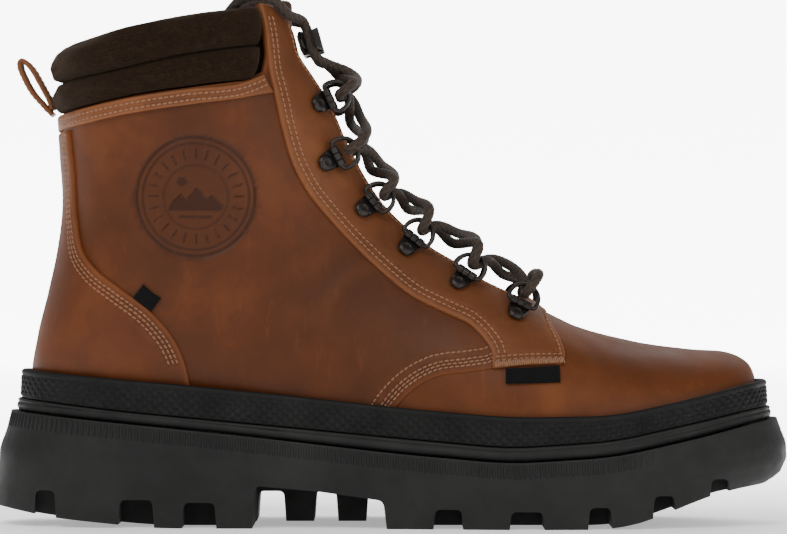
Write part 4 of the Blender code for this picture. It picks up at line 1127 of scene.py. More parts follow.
HOOK_LINE = [(-4.4, 0.45), (-1, 0.45), (2.6, 0.45), (4.0, 1.1), (4.75, 2.6), (4.75, 4.3), (3.9, 5.9),
             (2.2, 6.85), (-0.4, 6.75), (-3.3, 6.3)]


def make_hooks():
    """Speed hooks: a bent strip, narrower toward its lip, with a rivet in its foot."""
    line = spline(HOOK_LINE, 0.45)
    heading = units(np.gradient(line, axis=0))
    out = np.column_stack([heading[:, 1], -heading[:, 0]])
    share = np.linspace(0, 1, len(line))
    half = 4.9 * np.minimum(0.62 + share * 3, 1.0) * np.where(share > 0.72, 1 - (share - 0.72) * 0.9, 1)
    rings = []
    for k in range(len(line)):
        ring = []
        for x, side in ((-1, 0.45), (-0.93, 0.45), (0.93, 0.45), (1, 0.45), (1, -0.45), (0.93, -0.45),
                        (-0.93, -0.45), (-1, -0.45)):
            soft = 0.7 if abs(x) == 1 else 1.0
            y, z = line[k] + out[k] * side * soft
            ring.append((x * half[k], y, z))
        rings += ring
    dome, dome_faces = turned(DOME)
    dome = dome * 0.85 + (0, -0.6, 0.2)
    mesh = template("hook", *joined([(np.array(rings), tube_faces(len(line), 8)), (dome, dome_faces)]))
    for hook, side in zip(HOOKS, ("lateral", "medial")):
        matrix = framed(hook.point + hook.normal * (PLATE_LIFT + 0.2), hook.along, hook.inward, hook.normal)
        finished(shared_piece(f"speed_hook_{side}", mesh, matrix), "root", "gunmetal", f"lace_hook_{side}")


make_rings()
make_hooks()


# ---------------------------------------------------------------- the leather upper

FEATHER = [(-146, 48.5), (-133, 47), (-112, 43), (-82, 40.2), (-48, 36.6), (-15, 32.3), (15, 29.6), (40, 28),
           (64, 28), (88, 29.3), (108, 32.3), (124, 36.8), (135, 42.6), (143, 49)]
EMBLEM_AT = (-77.5, 129.5)
EMBLEM_RADIUS = 23.4
EMBLEM_RINGS = [(EMBLEM_RADIUS, 0.75, 0.55), (20.9, 0.5, 0.42), (12.6, 0.45, 0.3)]    # radius, width, depth
EMBLEM_FINE = 24.4       # radius within which the side's mesh is finer
OVERLAY_TOP = 1.7
SIDE_TOP = 0.85          # the sides overlap the vamp by this much at their front edge
BEHIND = 6.0             # how far a sheet goes on under the one that covers it
TACK_STEP = 0.82
TACK_HALF = 1.25         # half the length of a bar tack's stitches
TACK_RADIUS = 0.36
TACK_SHAPE = [(-1, 0.3, -0.15), (-0.8, 0.9, 0.125), (0, 1, 0.225), (0.8, 0.9, 0.125), (1, 0.3, -0.15)]


def feather(start, end):
    """Lower edge of the upper between two x values."""
    low, high = min(start, end), max(start, end)
    points = [(low, float(np.interp(low, *np.array(FEATHER).T)))]
    points += [p for p in FEATHER if low < p[0] < high]
    points.append((high, float(np.interp(high, *np.array(FEATHER).T))))
    return points if start < end else points[::-1]


def unrolled_point(point):
    return unrolled([point, point], 1)[0]


def emblem_relief(u, v):
    """Depth of the pressed badge at places measured from its middle: rings, peaks, a sun and a bar."""
    r = np.hypot(u, v)
    pressed = np.zeros_like(r)

    def groove(distance, width, depth):
        return -depth * np.exp(-(distance / width) ** 4)

    for radius, width, depth in EMBLEM_RINGS:
        pressed += groove(r - radius, width, depth)
    angle = np.arctan2(v, u)
    ticks = (np.abs(np.sin(angle * 12)) < 0.22) & (np.abs(r - 16.8) < 2.1)
    pressed += np.where(ticks, -0.42, 0.0)
    skyline = np.maximum.reduce([4.4 - np.abs(u - 0.6) * 1.25, 1.6 - np.abs(u + 5.6) * 1.05,
                                 1.0 - np.abs(u - 6.6) * 0.95]) - 0.4
    peaks = (v < skyline) & (v > -5.6) & (r < 11.4)
    pressed += np.where(peaks, -0.5, 0.0)
    sun = np.hypot(u + 5.2, v - 6.0) < 1.9
    pressed += np.where(sun, -0.45, 0.0)
    bar = (np.abs(v + 8.0) < 0.55) & (np.abs(u) < 6.6)
    pressed += np.where(bar, -0.42, 0.0)
    pressed += -0.16 * (r < EMBLEM_RADIUS)
    return pressed


def softened(first, second, cut=4):
    """Two lines that meet, as one line with a curve in place of their corner."""
    a, b = first[:-cut], second[cut:]
    t = np.linspace(0, 1, 8)[1:-1, None]
    curve = (1 - t) ** 2 * a[-1] + 2 * t * (1 - t) * first[-1] + t ** 2 * b[0]
    return np.vstack([a, curve, b])


class Leather:
    """The upper's outlines, sheets and threads."""

    def __init__(self):
        self.seam = unrolled(VAMP_SEAM)
        self.heel_edge = unrolled(HEEL_EDGE)
        self.collar = unrolled(COLLAR_LINE)
        self.facing = unrolled(FACING_EDGE)
        self.back = unrolled(EYESTAY_BACK)
        self.foot = unrolled(EYESTAY_FOOT)
        self.toe = unrolled(EYESTAY_TOE)
        self.threads = {}

    def sew(self, name, panel, rows):
        self.threads.setdefault(name, []).extend((panel, row) for row in rows)

    def vamp(self):
        bottom = unrolled(feather(-6.5, 143))
        bottom = bottom[bottom[:, 0] > 0.12]
        seam = offset(self.seam, BEHIND)
        seam = seam[seam[:, 1] < 0.985]
        top = straight(seam[-1], over_top(seam[-1:])[0])
        tip = straight(over_top(bottom[-1:])[0], bottom[-1])
        loop = np.vstack([seam, top[1:-1], over_top(seam)[::-1], over_top(bottom), tip[1:-1], bottom[::-1]])
        panel = Panel("vamp_leather", thinned(loop), 0.0, shape=self.vamp_shape, spacing=1.25)
        finished(panel.build(PAINT["vamp"]), "root", "leather_vamp", "vamp")

    def vamp_shape(self, points, domain):
        """Fine creases across the ball of the foot. Their tint is lighter on the ridges, the leather's own
        pull-up colour, and darker in the hollows, which is painted shade.
        """
        x = points[:, 0] + points[:, 2] * 0.35
        band = np.exp(-((points[:, 0] - 66) / 22) ** 2)
        crease = np.sin(x / 2.9 + waves(points, 16) * 3.4) * band
        return 0.10 * crease + 0.12 * waves(points, 40, 9.1), 0.10 * crease

    def side(self, sign, name):
        """Outline runs up the back, along the collar and facing, and down the vamp seam."""
        top = self.collar[self.collar[:, 1] > 0.004]
        facing_back = unrolled(FACING_BACK)
        edge = offset(self.facing, 0.6)[::-1]
        seam = self.seam[::-1]
        low = unrolled(feather(-6.5, -140))
        low = low[low[:, 1] > 0.004]
        back = straight((low[-1][0], 0.004), (top[0][0], 0.004))
        loop = np.vstack([top, facing_back, edge, seam, low, back])
        rows = [offset(self.seam, d) for d in (2.7, 4.0, 5.4, 8.6)]
        rows = [part_of(row, 0.05, 0.74) for row in rows]
        dense = None
        if sign > 0:
            across = np.arange(-EMBLEM_FINE, EMBLEM_FINE + 0.1, 0.6)
            grid = np.stack(np.meshgrid(across, across, indexing="ij"), axis=-1).reshape(-1, 2)
            grid = grid[np.hypot(*grid.T) < EMBLEM_FINE]
            s, a = locate(EMBLEM_AT[0] + grid[:, 0], EMBLEM_AT[1] + grid[:, 1])
            dense = (np.array(on_sock(*EMBLEM_AT)), EMBLEM_FINE + 0.8, np.stack([s, share_of(s, a)], axis=1))
        loop = thinned(loop)
        if sign < 0:
            loop, rows = inner_side(loop), [inner_side(row) for row in rows]
        seam_points = place(self.seam if sign > 0 else inner_side(self.seam))

        def shape(points, domain):
            near = distances(points, seam_points)
            raised = SIDE_TOP * np.exp(-(near / 17) ** 2)
            crease_at = (points[:, 0] + 22) / 20
            ankle = np.exp(-crease_at ** 2 - ((points[:, 2] - 96) / 22) ** 2)
            fold = np.sin((points[:, 2] * 0.9 - points[:, 0] * 0.55) / 3.6 + waves(points, 20) * 3) * ankle
            soft = 0.5 * waves(points, 46, 5.2) + 0.16 * fold
            # tint follows the fold: lighter on its ridges, the leather's pull-up colour, and darker in its
            # hollows, which is painted shade
            tint = 0.12 * fold
            if sign > 0:
                u, v = points[:, 0] - EMBLEM_AT[0], points[:, 2] - EMBLEM_AT[1]
                outer = points[:, 1] < 0
                relief = np.where(outer, emblem_relief(u, v), 0)
                flatten = np.where(outer, np.exp(-(np.hypot(u, v) / 26) ** 6), 0)
                soft = soft * (1 - 0.7 * flatten)
                return raised + soft + relief, tint + 1.35 * relief - 0.05 * flatten
            return raised + soft, tint

        panel = Panel(f"side_leather_{name}", loop, 0.0, rows, shape, dense)
        finished(panel.build(PAINT["quarter"]), "root", "leather_quarter",
                 "quarter_lateral" if sign > 0 else "quarter_medial")
        self.sew(f"seam_threads_{name}", panel, rows)

    def heel(self):
        low = self.heel_edge[-1]
        top = unrolled([(-127.8, 156.2), (-131.6, 155.2)])
        back = straight(top[-1], (top[-1][0], 0.0))
        lateral = np.vstack([top[::-1][:-1], self.heel_edge])
        bottom = straight(low, (low[0], 0.0))
        half = np.vstack([back[::-1][:-1], lateral, bottom[1:]])
        loop = np.vstack([half, inner_side(half[1:-1])[::-1]])
        rows = [offset(self.heel_edge, -d) for d in (2.5, 4.1, 5.8)]
        rows = [part_of(row, 0.0, 0.88) for row in rows]
        rows += [inner_side(row) for row in rows]
        panel = Panel("heel_leather", thinned(loop), OVERLAY_TOP, rows)
        finished(panel.build(PAINT["heel"]), "root", "leather_heel", "heel_panel")
        self.sew("heel_threads", panel, rows)

    def band(self):
        upper = unrolled([(x, z - 0.5) for x, z in COLLAR_LINE[1:]] + [(-51.5, 177.6)])
        lower = unrolled([(x, z - 6.6) for x, z in COLLAR_LINE[1:]] + [(-47.8, 170.6)])
        half = np.vstack([lower, straight(lower[-1], upper[-1])[1:-1], upper[::-1]])
        start = straight((half[0][0], 0.0), half[0])[:-1]
        end = straight(half[-1], (half[-1][0], 0.0))[1:]
        other = inner_side(np.vstack([start, half, end[:-1]]))
        loop = np.vstack([start, half, end, other[::-1][:-1]])
        rows = [offset(upper, -2.0), offset(upper, -4.3)]
        rows += [inner_side(row) for row in rows]
        panel = Panel("collar_edge_leather", thinned(loop), OVERLAY_TOP - 0.1, rows)
        finished(panel.build(PAINT["facing"]), "root", "leather_facing", "collar_band")
        self.sew("collar_threads", panel, rows)

    def facing_sheet(self, sign, name):
        top = unrolled([(-53.2, 205.7), (-49, 204.9), (-44.6, 203.6)])
        inner = self.facing[::-1]
        rise = unrolled([(50.5, 88.2), (55, 92.4)])
        across = straight(rise[-1], self.toe[-1])
        foot_and_toe = softened(self.foot, self.toe)
        loop = np.vstack([top[:-1], inner, rise[1:-1], across, foot_and_toe[::-1][1:], self.back[::-1][1:]])
        rows = [part_of(offset(self.back, d), 0.03, 0.97) for d in (2.6, 4.9)]
        rows.append(part_of(offset(self.facing, 2.0), 0.03, 0.97))
        rows += [part_of(offset(self.foot, d), 0.04, 0.96) for d in (2.6, 4.3)]
        rows += [part_of(offset(self.toe, 2.0), 0.1, 0.9)]
        loop = thinned(loop)
        if sign < 0:
            loop, rows = inner_side(loop), [inner_side(row) for row in rows]
        panel = Panel(f"facing_leather_{name}", loop, OVERLAY_TOP, rows)
        finished(panel.build(PAINT["facing"]), "root", "leather_facing",
                 "eyestay_lateral" if sign > 0 else "eyestay_medial")
        self.sew(f"facing_threads_{name}", panel, rows)
        tack = offset(self.foot, 1.1)
        tack = tack if sign > 0 else inner_side(tack)
        self.bar_tack(name, panel, part_of(tack, 0.05, 0.95))

    def bar_tack(self, name, panel, path):
        """Close upright stitches over the facing's foot."""
        path = respaced(path, TACK_STEP)
        height, _ = panel.lift(path)
        centres = place(path, height)
        up = normals(path[:, 0], angle_of(path[:, 0], path[:, 1]))
        heading = units(np.gradient(centres, axis=0))
        across = np.cross(up, heading)
        beads = Beads()
        for k, centre in enumerate(centres):
            lean = across[k] + heading[k] * rng.uniform(-0.15, 0.15)
            cores = [centre + lean * share * TACK_HALF + up[k] * rise for share, _, rise in TACK_SHAPE]
            widths = [width for _, width, _ in TACK_SHAPE]
            beads.add(cores, widths, heading[k] * TACK_RADIUS, up[k] * TACK_RADIUS)
        finished(beads.build(f"bar_tack_{name}", PAINT["thread"]), "root", "leather_facing")


def thinned(loop, gap=0.45):
    """Closed outline without points that nearly repeat the one before."""
    points = place(loop)
    kept = [0]
    for k in range(1, len(loop)):
        if np.linalg.norm(points[k] - points[kept[-1]]) > gap:
            kept.append(k)
    if np.linalg.norm(points[kept[-1]] - points[0]) < gap:
        kept.pop()
    return loop[kept]


upper = Leather()
upper.vamp()
upper.side(1, "lateral")
upper.side(-1, "medial")
upper.heel()
upper.band()
upper.facing_sheet(1, "lateral")
upper.facing_sheet(-1, "medial")
for thread_name, thread_rows in upper.threads.items():
    stitch_mesh(thread_name, thread_rows, PAINT["thread"])

SIDE_TAB = [(43.8, 61.9), (64.8, 62.8), (65, 56.9), (43.8, 56.4)]
HEEL_TAB = [(-101.8, 90.1), (-94.8, 84.8), (-91, 89.9), (-97.9, 95.2)]


def make_tabs():
    """Small folded tapes caught in the seams; they carry no text."""
    for name, outline, node in (("side_tape", SIDE_TAB, "side_tab"), ("heel_tape", HEEL_TAB, "heel_tab")):
        corners = [unrolled_point(point) for point in outline]
        loop = np.vstack([straight(a, b, 0.9)[:-1] for a, b in zip(corners, corners[1:] + corners[:1])])
        panel = Panel(name, loop, 1.75, spacing=0.6)
        finished(panel.build(PAINT["webbing"]), "root", "webbing", node)


make_tabs()


# ---------------------------------------------------------------- sole unit

TOE_CENTRE = (94.0, 4.8)
HEEL_CENTRE = (-98.0, 0.0)
END_RAYS = 72
SIDE_RAYS = 96
FOXING_WALL = 2.2
BEAD_PROUD = 1.5
RIM_PROUD = 4.2
CUP_WALL = 4.4
NOTCHES = [(-141.5, -132, 14.4), (-107.8, -93.3, 11), (-82.8, -68.9, 10), (15.3, 27.4, 7.7),
           (44.8, 59, 6.9), (75.3, 85.3, 8.5), (100.6, 110.4, 12.8), (123.3, 132.3, 19)]
NOTCH_INNER = 23.0       # the notches end this far from the middle line
WIDE = 130.0             # past the boot's side on either hand
ARCH = [(-55.5, -5), (-54, 16.6), (-30, 14.6), (-4, 11), (-2, -5)]
ARCH_GAPS = [(-55, -43), (-32, -22), (-11, -2)]
ARCH_GAP_ROOF = 12.0
ARCH_INNER = 8.0         # the arch is open from the outer side up to here
ARCH_OVERLAP = 0.5       # the inner windows start this far inside the arch
CUP_FLOOR = [(-160, 24), (-130, 18.8), (-100, 15.2), (-60, 19), (0, 17), (15, 12), (90, 12),
             (105, 16.5), (128, 22.8), (160, 30)]
WALL_LEVELS = [0.0, 0.12, 0.35, 0.6, 0.8, 1.0]
WALL_TOE = [-4.2, 1.2, 4.0, 3.8, 1.8, 0.0]
WALL_HEEL = [5.8, 5.6, 5.0, 4.6, 1.8, 0.0]
WALL_SIDE = [1.0, 1.0, 1.4, 1.0, 0.4, 0.0]
WALL_OUTER = 0.65


class Outline:
    """Plan outline of the foot with evenly spaced places round it."""

    def __init__(self):
        s, t = np.meshgrid(np.linspace(0, FAN_TOP, 133), np.linspace(-1, 1, 161)[:-1], indexing="ij")
        points = place(np.stack([s.ravel(), t.ravel()], axis=1))
        self.tree = BVHTree.FromPolygons([tuple(p) for p in points], grid_faces(133, 160, wrap_columns=True))
        rays = [(*TOE_CENTRE, math.pi * (k / END_RAYS - 0.5)) for k in range(END_RAYS + 1)]
        sides = [k / SIDE_RAYS for k in range(1, SIDE_RAYS)]
        length = HEEL_CENTRE[0] - TOE_CENTRE[0]
        middle = [(TOE_CENTRE[0] + length * t, TOE_CENTRE[1] * (1 - t)) for t in sides]
        rays += [(*point, math.pi / 2) for point in middle]
        rays += [(*HEEL_CENTRE, math.pi * (k / END_RAYS + 0.5)) for k in range(END_RAYS + 1)]
        rays += [(*point, -math.pi / 2) for point in middle[::-1]]
        rays = np.array(rays)
        self.origin = rays[:, :2]
        self.way = np.stack([np.cos(rays[:, 2]), np.sin(rays[:, 2])], axis=1)
        reach = np.array([self.base(o, w) for o, w in zip(self.origin, self.way)])
        for _ in range(6):
            reach = (np.roll(reach, 1) + 2 * reach + np.roll(reach, -1)) / 4
        self.reach = reach

    def hit(self, origin, way, line, rise=0.0):
        distance = 45.0
        for _ in range(3):
            z = float(smooth_height(line, origin[0] + way[0] * distance)) + rise
            found = self.tree.ray_cast(Vector((*origin, z)), Vector((*way, 0)))
            distance = found[3] or distance
        return distance

    def base(self, origin, way):
        behind = min(max((-40 - origin[0] - way[0] * 40) / 30, 0), 1)
        widest = max(self.hit(origin, way, FOXING_TOP, 0.5), self.hit(origin, way, BEAD_TOP))
        return widest + 2.1 + 1.5 * behind

    def spread(self, step):
        """Origin, heading and reach at places a step apart round the outline, and their run."""
        ring = self.origin + self.way * self.reach[:, None]
        run = run_along(np.vstack([ring, ring[:1]]))
        at = np.arange(int(run[-1] / step)) * (run[-1] / int(run[-1] / step))
        table = np.column_stack([self.origin, self.way, self.reach])
        table = np.vstack([table, table[:1]])
        made = read_at(at, run, table)
        return made[:, :2], units(made[:, 2:4]), made[:, 4], at


def wall_bulge(forward, level, outward_y):
    share = np.abs(forward) ** 1.5
    toe, heel, side = (np.interp(level, WALL_LEVELS, wall) for wall in (WALL_TOE, WALL_HEEL, WALL_SIDE))
    return side * (1 - share) + np.where(forward > 0, toe, heel) * share - WALL_OUTER * outward_y


def ring_points(origin, way, reach, z_of):
    xy = origin + way * reach[:, None]
    return np.column_stack([xy, z_of(xy[:, 0])])


def make_foxing(outline):
    """Rubber band with a knurl of small diamonds under a plain lip."""
    origin, way, reach, run = outline.spread(0.52)
    diamonds_round = round(run[-1] / 4.1)
    turn = run / (run[-1] + 0.52) * diamonds_round
    rows = []

    def low(x):
        return smooth_height(BEAD_TOP, x) + 0.15

    def high(x):
        return smooth_height(FOXING_TOP, x)

    levels = np.linspace(0, 1, 30)
    rows.append(ring_points(origin, way, reach, low))
    for level in levels:
        xy = origin + way * (reach + FOXING_WALL)[:, None]
        height = high(xy[:, 0]) - low(xy[:, 0])
        v = level * height
        first, second = turn + v / 3.7, turn - v / 3.7
        ridge = np.minimum(np.abs(first % 1 - 0.5), np.abs(second % 1 - 0.5)) * 2
        ridge = np.clip(ridge * 1.7, 0, 1)
        textured = np.clip((height - 2.4 - v) / 0.35, 0, 1) * np.clip((v - 0.4) / 0.3, 0, 1)
        plain = 0.55 * np.clip((v - height + 2.4) / 0.4, 0, 1)
        roll = np.where(v > height - 1.0, -0.9 * ((v - height + 1.0) / 1.0) ** 2, 0)
        out = reach + FOXING_WALL - 0.35 + 0.5 * (1 - level) + textured * (0.85 * ridge - 0.2) + plain + roll
        z = lambda x, level=level: low(x) + (high(x) - low(x)) * level
        rows.append(ring_points(origin, way, out, z))
    rows.append(ring_points(origin, way, reach + FOXING_WALL - 1.6, lambda x: high(x) + 0.02))
    rows.append(ring_points(origin, way, reach, lambda x: high(x) - 0.1))
    faces = grid_faces(len(rows), len(reach), wrap_columns=True, wrap_rows=True)
    made = mesh_piece("knurled_foxing", np.vstack(rows), faces, PAINT["foxing"], sharp=0)
    finished(face_out(made), "root", "rubber", "foxing_band")


# how proud, above the rim (0) or from the bead's upper line (1), rise
BEAD_PROFILE = [(-3.6, 0, 0.16), (-0.9, 0, 0.16), (-0.1, 0, 0.5), (0.35, 0, 1.2), (0.5, 0, 2.1),
                (0.42, 0, 2.8), (0.1, 0, 3.3), (-0.15, 0, 3.5), (-0.15, 1, -1.6), (0.1, 1, -1.3),
                (0.12, 1, -0.9), (-0.15, 1, -0.45), (-0.7, 1, -0.2), (-3.6, 1, -0.16)]


def make_bead(outline):
    """Double rounded strip standing on the outsole's rim."""
    origin, way, reach, _ = outline.spread(1.2)
    edge = reach + FOXING_WALL + BEAD_PROUD
    rows = []
    for proud, upper_line, rise in BEAD_PROFILE:
        line = BEAD_TOP if upper_line else RIM
        height = lambda x, line=line, rise=rise: smooth_height(line, x) + rise
        rows.append(ring_points(origin, way, edge + proud, height))
    faces = grid_faces(len(rows), len(reach), wrap_columns=True, wrap_rows=True)
    made = mesh_piece("sole_bead", np.vstack(rows), faces, PAINT["rubber"], sharp=0)
    finished(face_out(made), "root", "rubber", "welt_bead")


def upright(name, outline, proud, wall):
    """Closed upright solid with the foot's outline."""
    origin, way, reach, _ = outline.spread(3.0)
    rows = []
    levels = [None, *np.linspace(0, 1, 15), "top"] if wall else [None, "top"]
    for level in levels:
        out = reach + FOXING_WALL + RIM_PROUD + proud
        if wall:
            at = 0.0 if level is None else 1.0 if level == "top" else level
            out = out + wall_bulge(way[:, 0], at, way[:, 1])
        if level is None:
            rows.append(ring_points(origin, way, out, lambda x: np.full_like(x, -4.0)))
        elif level == "top":
            rows.append(ring_points(origin, way, out, lambda x: np.full_like(x, 62.0)))
        else:
            rows.append(ring_points(origin, way, out, lambda x, level=level: smooth_height(TREAD, x)
                                    + (smooth_height(RIM, x) - smooth_height(TREAD, x)) * level))
    faces = tube_faces(len(rows), len(reach))
    return face_out(mesh_piece(name, np.vstack(rows), faces, PAINT["rubber"], sharp=30))


def prism(outline, y0, y1):
    points = [(x, y, z) for y in (y0, y1) for x, z in outline]
    return face_out(mesh_piece("cutter", points, tube_faces(2, len(outline)), PAINT["rubber"], sharp=0))


def cut(target, cutters):
    for cutter in cutters:
        step = target.modifiers.new("cut", "BOOLEAN")
        step.operation = "DIFFERENCE"
        step.solver = "EXACT"
        step.object = cutter
    settle(target)
    for cutter in cutters:
        bpy.data.objects.remove(cutter, do_unlink=True)


def settle(target):
    """Makes the modifiers' result the object's own mesh."""
    graph = bpy.context.evaluated_depsgraph_get()
    graph.update()
    made = bpy.data.meshes.new_from_object(target.evaluated_get(graph))
    target.modifiers.clear()
    target.data = made


def tidy_mesh(target):
    """Joins points that nearly meet and takes out faces without area."""
    shape = bmesh.new()
    shape.from_mesh(target.data)
    bmesh.ops.remove_doubles(shape, verts=shape.verts, dist=0.12 * MM)
    bmesh.ops.dissolve_degenerate(shape, dist=0.01 * MM, edges=shape.edges)
    shape.to_mesh(target.data)
    shape.free()


def line_cut(line, rise, far, step=2.7):
    """Closed side-view outline beyond a line, on the far side in height."""
    x = np.arange(-166, 167, step)
    z = smooth_height(line, x) + rise
    return [*zip(x.tolist(), z.tolist()), (175.0, far), (-175.0, far)]


def notch(x0, x1, roof):
    outline = [(x0 - 0.5, -8), (x1 + 0.5, -8), (x1 - 1.0, roof), (x0 + 1.0, roof)]
    return rounded(outline, 2.2, 5)


def make_outsole(outline):
    outsole = upright("lugged_outsole", outline, 0.0, True)
    cup = upright("cup", outline, -CUP_WALL, False)
    cut(cup, [prism(line_cut(CUP_FLOOR, 0, -60), -WIDE, WIDE)])
    cut(outsole, [prism(line_cut(TREAD, 0, -60), -WIDE, WIDE)])
    tidy_mesh(outsole)
    cutters = []
    for x0, x1, roof in NOTCHES:
        cutters.append(prism(notch(x0, x1, roof), -WIDE, -NOTCH_INNER))
        cutters.append(prism(notch(x0, x1, roof), NOTCH_INNER, WIDE))
    cutters.append(prism(rounded(ARCH, 2.5, 5), -WIDE, ARCH_INNER))
    cutters += [prism(notch(x0, x1, ARCH_GAP_ROOF), ARCH_INNER - ARCH_OVERLAP, WIDE) for x0, x1 in ARCH_GAPS]
    cut(outsole, cutters)
    tidy_mesh(outsole)
    cut(outsole, [cup, prism(line_cut(RIM, -0.15, 90), -WIDE, WIDE)])
    tidy_mesh(outsole)
    soft = outsole.modifiers.new("soft", "BEVEL")
    soft.width = 0.75 * MM
    soft.segments = 2
    soft.limit_method = "ANGLE"
    soft.angle_limit = math.radians(38)
    settle(outsole)
    outsole.data.shade_smooth()
    outsole.data.set_sharp_from_angle(angle=math.radians(42))
    finished(outsole, "root", "rubber", "outsole")
    make_ribs(outline)


RIB_STEP = 2.05
RIB_HIGH = 5.6
RIB_SHARES = [0.0, 0.1, 0.5, 0.9, 1.0]
RIB_WIDTHS = [0.25, 0.9, 1.0, 0.9, 0.25]


def make_ribs(outline):
    """Upright ribs under the outsole's rim, fading out toward the toe."""
    origin, way, reach, _ = outline.spread(RIB_STEP)
    beads = Beads()
    for o, w, r in zip(origin, way, reach):
        x = o[0] + w[0] * (r + FOXING_WALL + RIM_PROUD)
        fade = float(np.clip((104 - x) / 14, 0, 1))
        if fade < 0.15 or x < -151:
            continue
        rim, tread = float(smooth_height(RIM, x)), float(smooth_height(TREAD, x))
        cores = []
        for share in RIB_SHARES:
            z = rim - 0.75 - RIB_HIGH * share
            out = r + FOXING_WALL + RIM_PROUD + wall_bulge(w[:1], (z - tread) / (rim - tread), w[1])[0]
            cores.append(np.array([*(o + w * out), z]))
        beads.add(cores, RIB_WIDTHS, np.array([-w[1], w[0], 0]) * 0.62, np.array([*w, 0]) * 0.5 * fade)
    finished(beads.build("outsole_ribs", PAINT["rubber"]), "root", "rubber")


foot_outline = Outline()
make_foxing(foot_outline)
make_bead(foot_outline)
make_outsole(foot_outline)


# ---------------------------------------------------------------- padded collar

COLLAR_FRONT = [(-54.6, 176.0), (-52.4, 189.6), (-53.2, 205.1)]
COLLAR_PROFILE = [(0, 0.3), (0.2, 2.4), (0.5, 3.2), (0.8, 2.5), (0.92, 0.9), (1, -1.7), (1.08, 1.2),
                  (1.22, 2.9), (1.5, 3.7), (1.8, 2.2), (1.97, -0.6), (2, -3.4), (1.9, -6.6),
                  (1.55, -8.4), (1, -7.8), (0.5, -8.6), (0, -7.2)]
COLLAR_COLUMNS = 121
COLLAR_MIDDLE = -3.0     # depth of the padding's middle
PUFF_LIMIT = 1.7         # furthest that the filling moves the felt
PUFF_EVENING = 14        # passes that even out the filling along the collar


def row_at_line(line, a, rise=0.0):
    low, high = np.full_like(a, FAN_TOP - 6.0), np.full_like(a, float(FAN_TOP))
    for _ in range(24):
        middle = (low + high) / 2
        points = surface(middle, a)
        under = points[:, 2] < smooth_height(line, points[:, 0]) + rise
        low, high = np.where(under, middle, low), np.where(under, high, middle)
    return low


def collar_grid():
    """Rings of the collar's section from one facing round the heel to the other."""
    share = np.linspace(1, -1, COLLAR_COLUMNS)
    angles = [share * locate(x, z)[1][0] for x, z in COLLAR_FRONT]
    levels = [row_at_line(line, a, rise) for line, a, rise in
              zip((COLLAR_LINE, COLLAR_GROOVE, COLLAR_TOP), angles, (0.7, 0, 0))]
    profile = spline([(p * 12, lift) for p, lift in COLLAR_PROFILE], 1.0) / (12, 1)
    end = np.clip((1 - np.abs(share)) * 60 / 2.2, 0, 1)
    inset_at_end = (1 - np.sqrt(1 - (1 - end) ** 2)) * 1.5
    rings = []
    for spot, lift in profile:
        part, base = (spot, 0) if spot < 1 else (spot - 1, 1)
        s = levels[base] * (1 - part) + levels[base + 1] * part
        a = angles[base] * (1 - part) + angles[base + 1] * part
        rings.append(lifted(s, a, lift + (COLLAR_MIDDLE - lift) * np.clip(inset_at_end, 0, 1) * 0.35))
    return profile, np.stack(rings, axis=1)


def puff(made, held, columns, frames=20):
    """Lets air pressure fill a sewn cover whose held places stay put."""
    rest = np.array([v.co for v in made.data.vertices])
    group = made.vertex_groups.new(name="held")
    for index, weight in enumerate(held):
        group.add([index], float(weight), "REPLACE")
    cloth = made.modifiers.new("filling", "CLOTH")
    settings = cloth.settings
    settings.quality = 6
    settings.mass = 0.25
    settings.tension_stiffness = 18
    settings.compression_stiffness = 12
    settings.bending_stiffness = 0.35
    settings.use_pressure = True
    settings.uniform_pressure_force = 4.0
    settings.effector_weights.gravity = 0.0
    settings.shrink_min = -0.05
    settings.vertex_group_mass = "held"
    settings.pin_stiffness = 4.0
    cloth.collision_settings.use_collision = False
    cloth.point_cache.frame_start, cloth.point_cache.frame_end = 1, frames
    scene = bpy.context.scene
    for number in range(1, frames + 1):
        scene.frame_set(number)
    settle(made)
    scene.frame_set(1)
    filled = np.array([v.co for v in made.data.vertices])
    shift = filled - rest
    length = np.linalg.norm(shift, axis=1)
    shift *= np.minimum(1, PUFF_LIMIT * MM / np.maximum(length, 1e-9))[:, None]
    rings = shift.reshape(columns, -1, 3)
    for _ in range(PUFF_EVENING):
        before, after = np.concatenate([rings[:1], rings[:-1]]), np.concatenate([rings[1:], rings[-1:]])
        rings = (before + 2 * rings + after) / 4
    made.data.vertices.foreach_set("co", (rest + rings.reshape(-1, 3)).ravel())
    made.data.update()


def make_collar():
    profile, rings = collar_grid()
    columns, size = rings.shape[:2]
    points = rings.reshape(-1, 3)
    made = face_out(mesh_piece("felt_collar", points, tube_faces(columns, size), PAINT["felt"], sharp=0))
    spot, lift = profile.T
    seam = np.minimum(np.abs(spot - 1), spot) * 14
    inner = lift < -4
    held = np.where(inner, 0.8, np.exp(-(seam / 1.3) ** 2))
    held = np.tile(np.clip(held, 0, 1), columns)
    puff(made, held, columns)
    co = np.array([v.co for v in made.data.vertices]) / MM
    pucker = 0.14 * waves(co * (1, 1, 0.55), 7.5, 2.0) + 0.08 * waves(co, 3.2, 8.0)
    bump = np.tile(np.where(inner, 0.5, 1.0), columns) * pucker
    normal = np.array([v.normal for v in made.data.vertices])
    made.data.vertices.foreach_set("co", ((co + normal * bump[:, None]) * MM).ravel())
    step = made.modifiers.new("fine", "SUBSURF")
    step.levels = step.render_levels = 1
    settle(made)
    made.data.shade_smooth()
    finished(made, "root", "felt", "padded_collar")


make_collar()


# ---------------------------------------------------------------- tongue, lining, loop

TONGUE_START = 6.45
TONGUE_END = 20.35
TONGUE_BACK = -7.4
TONGUE_THICK = 5.0
TONGUE_HALF = 26.0


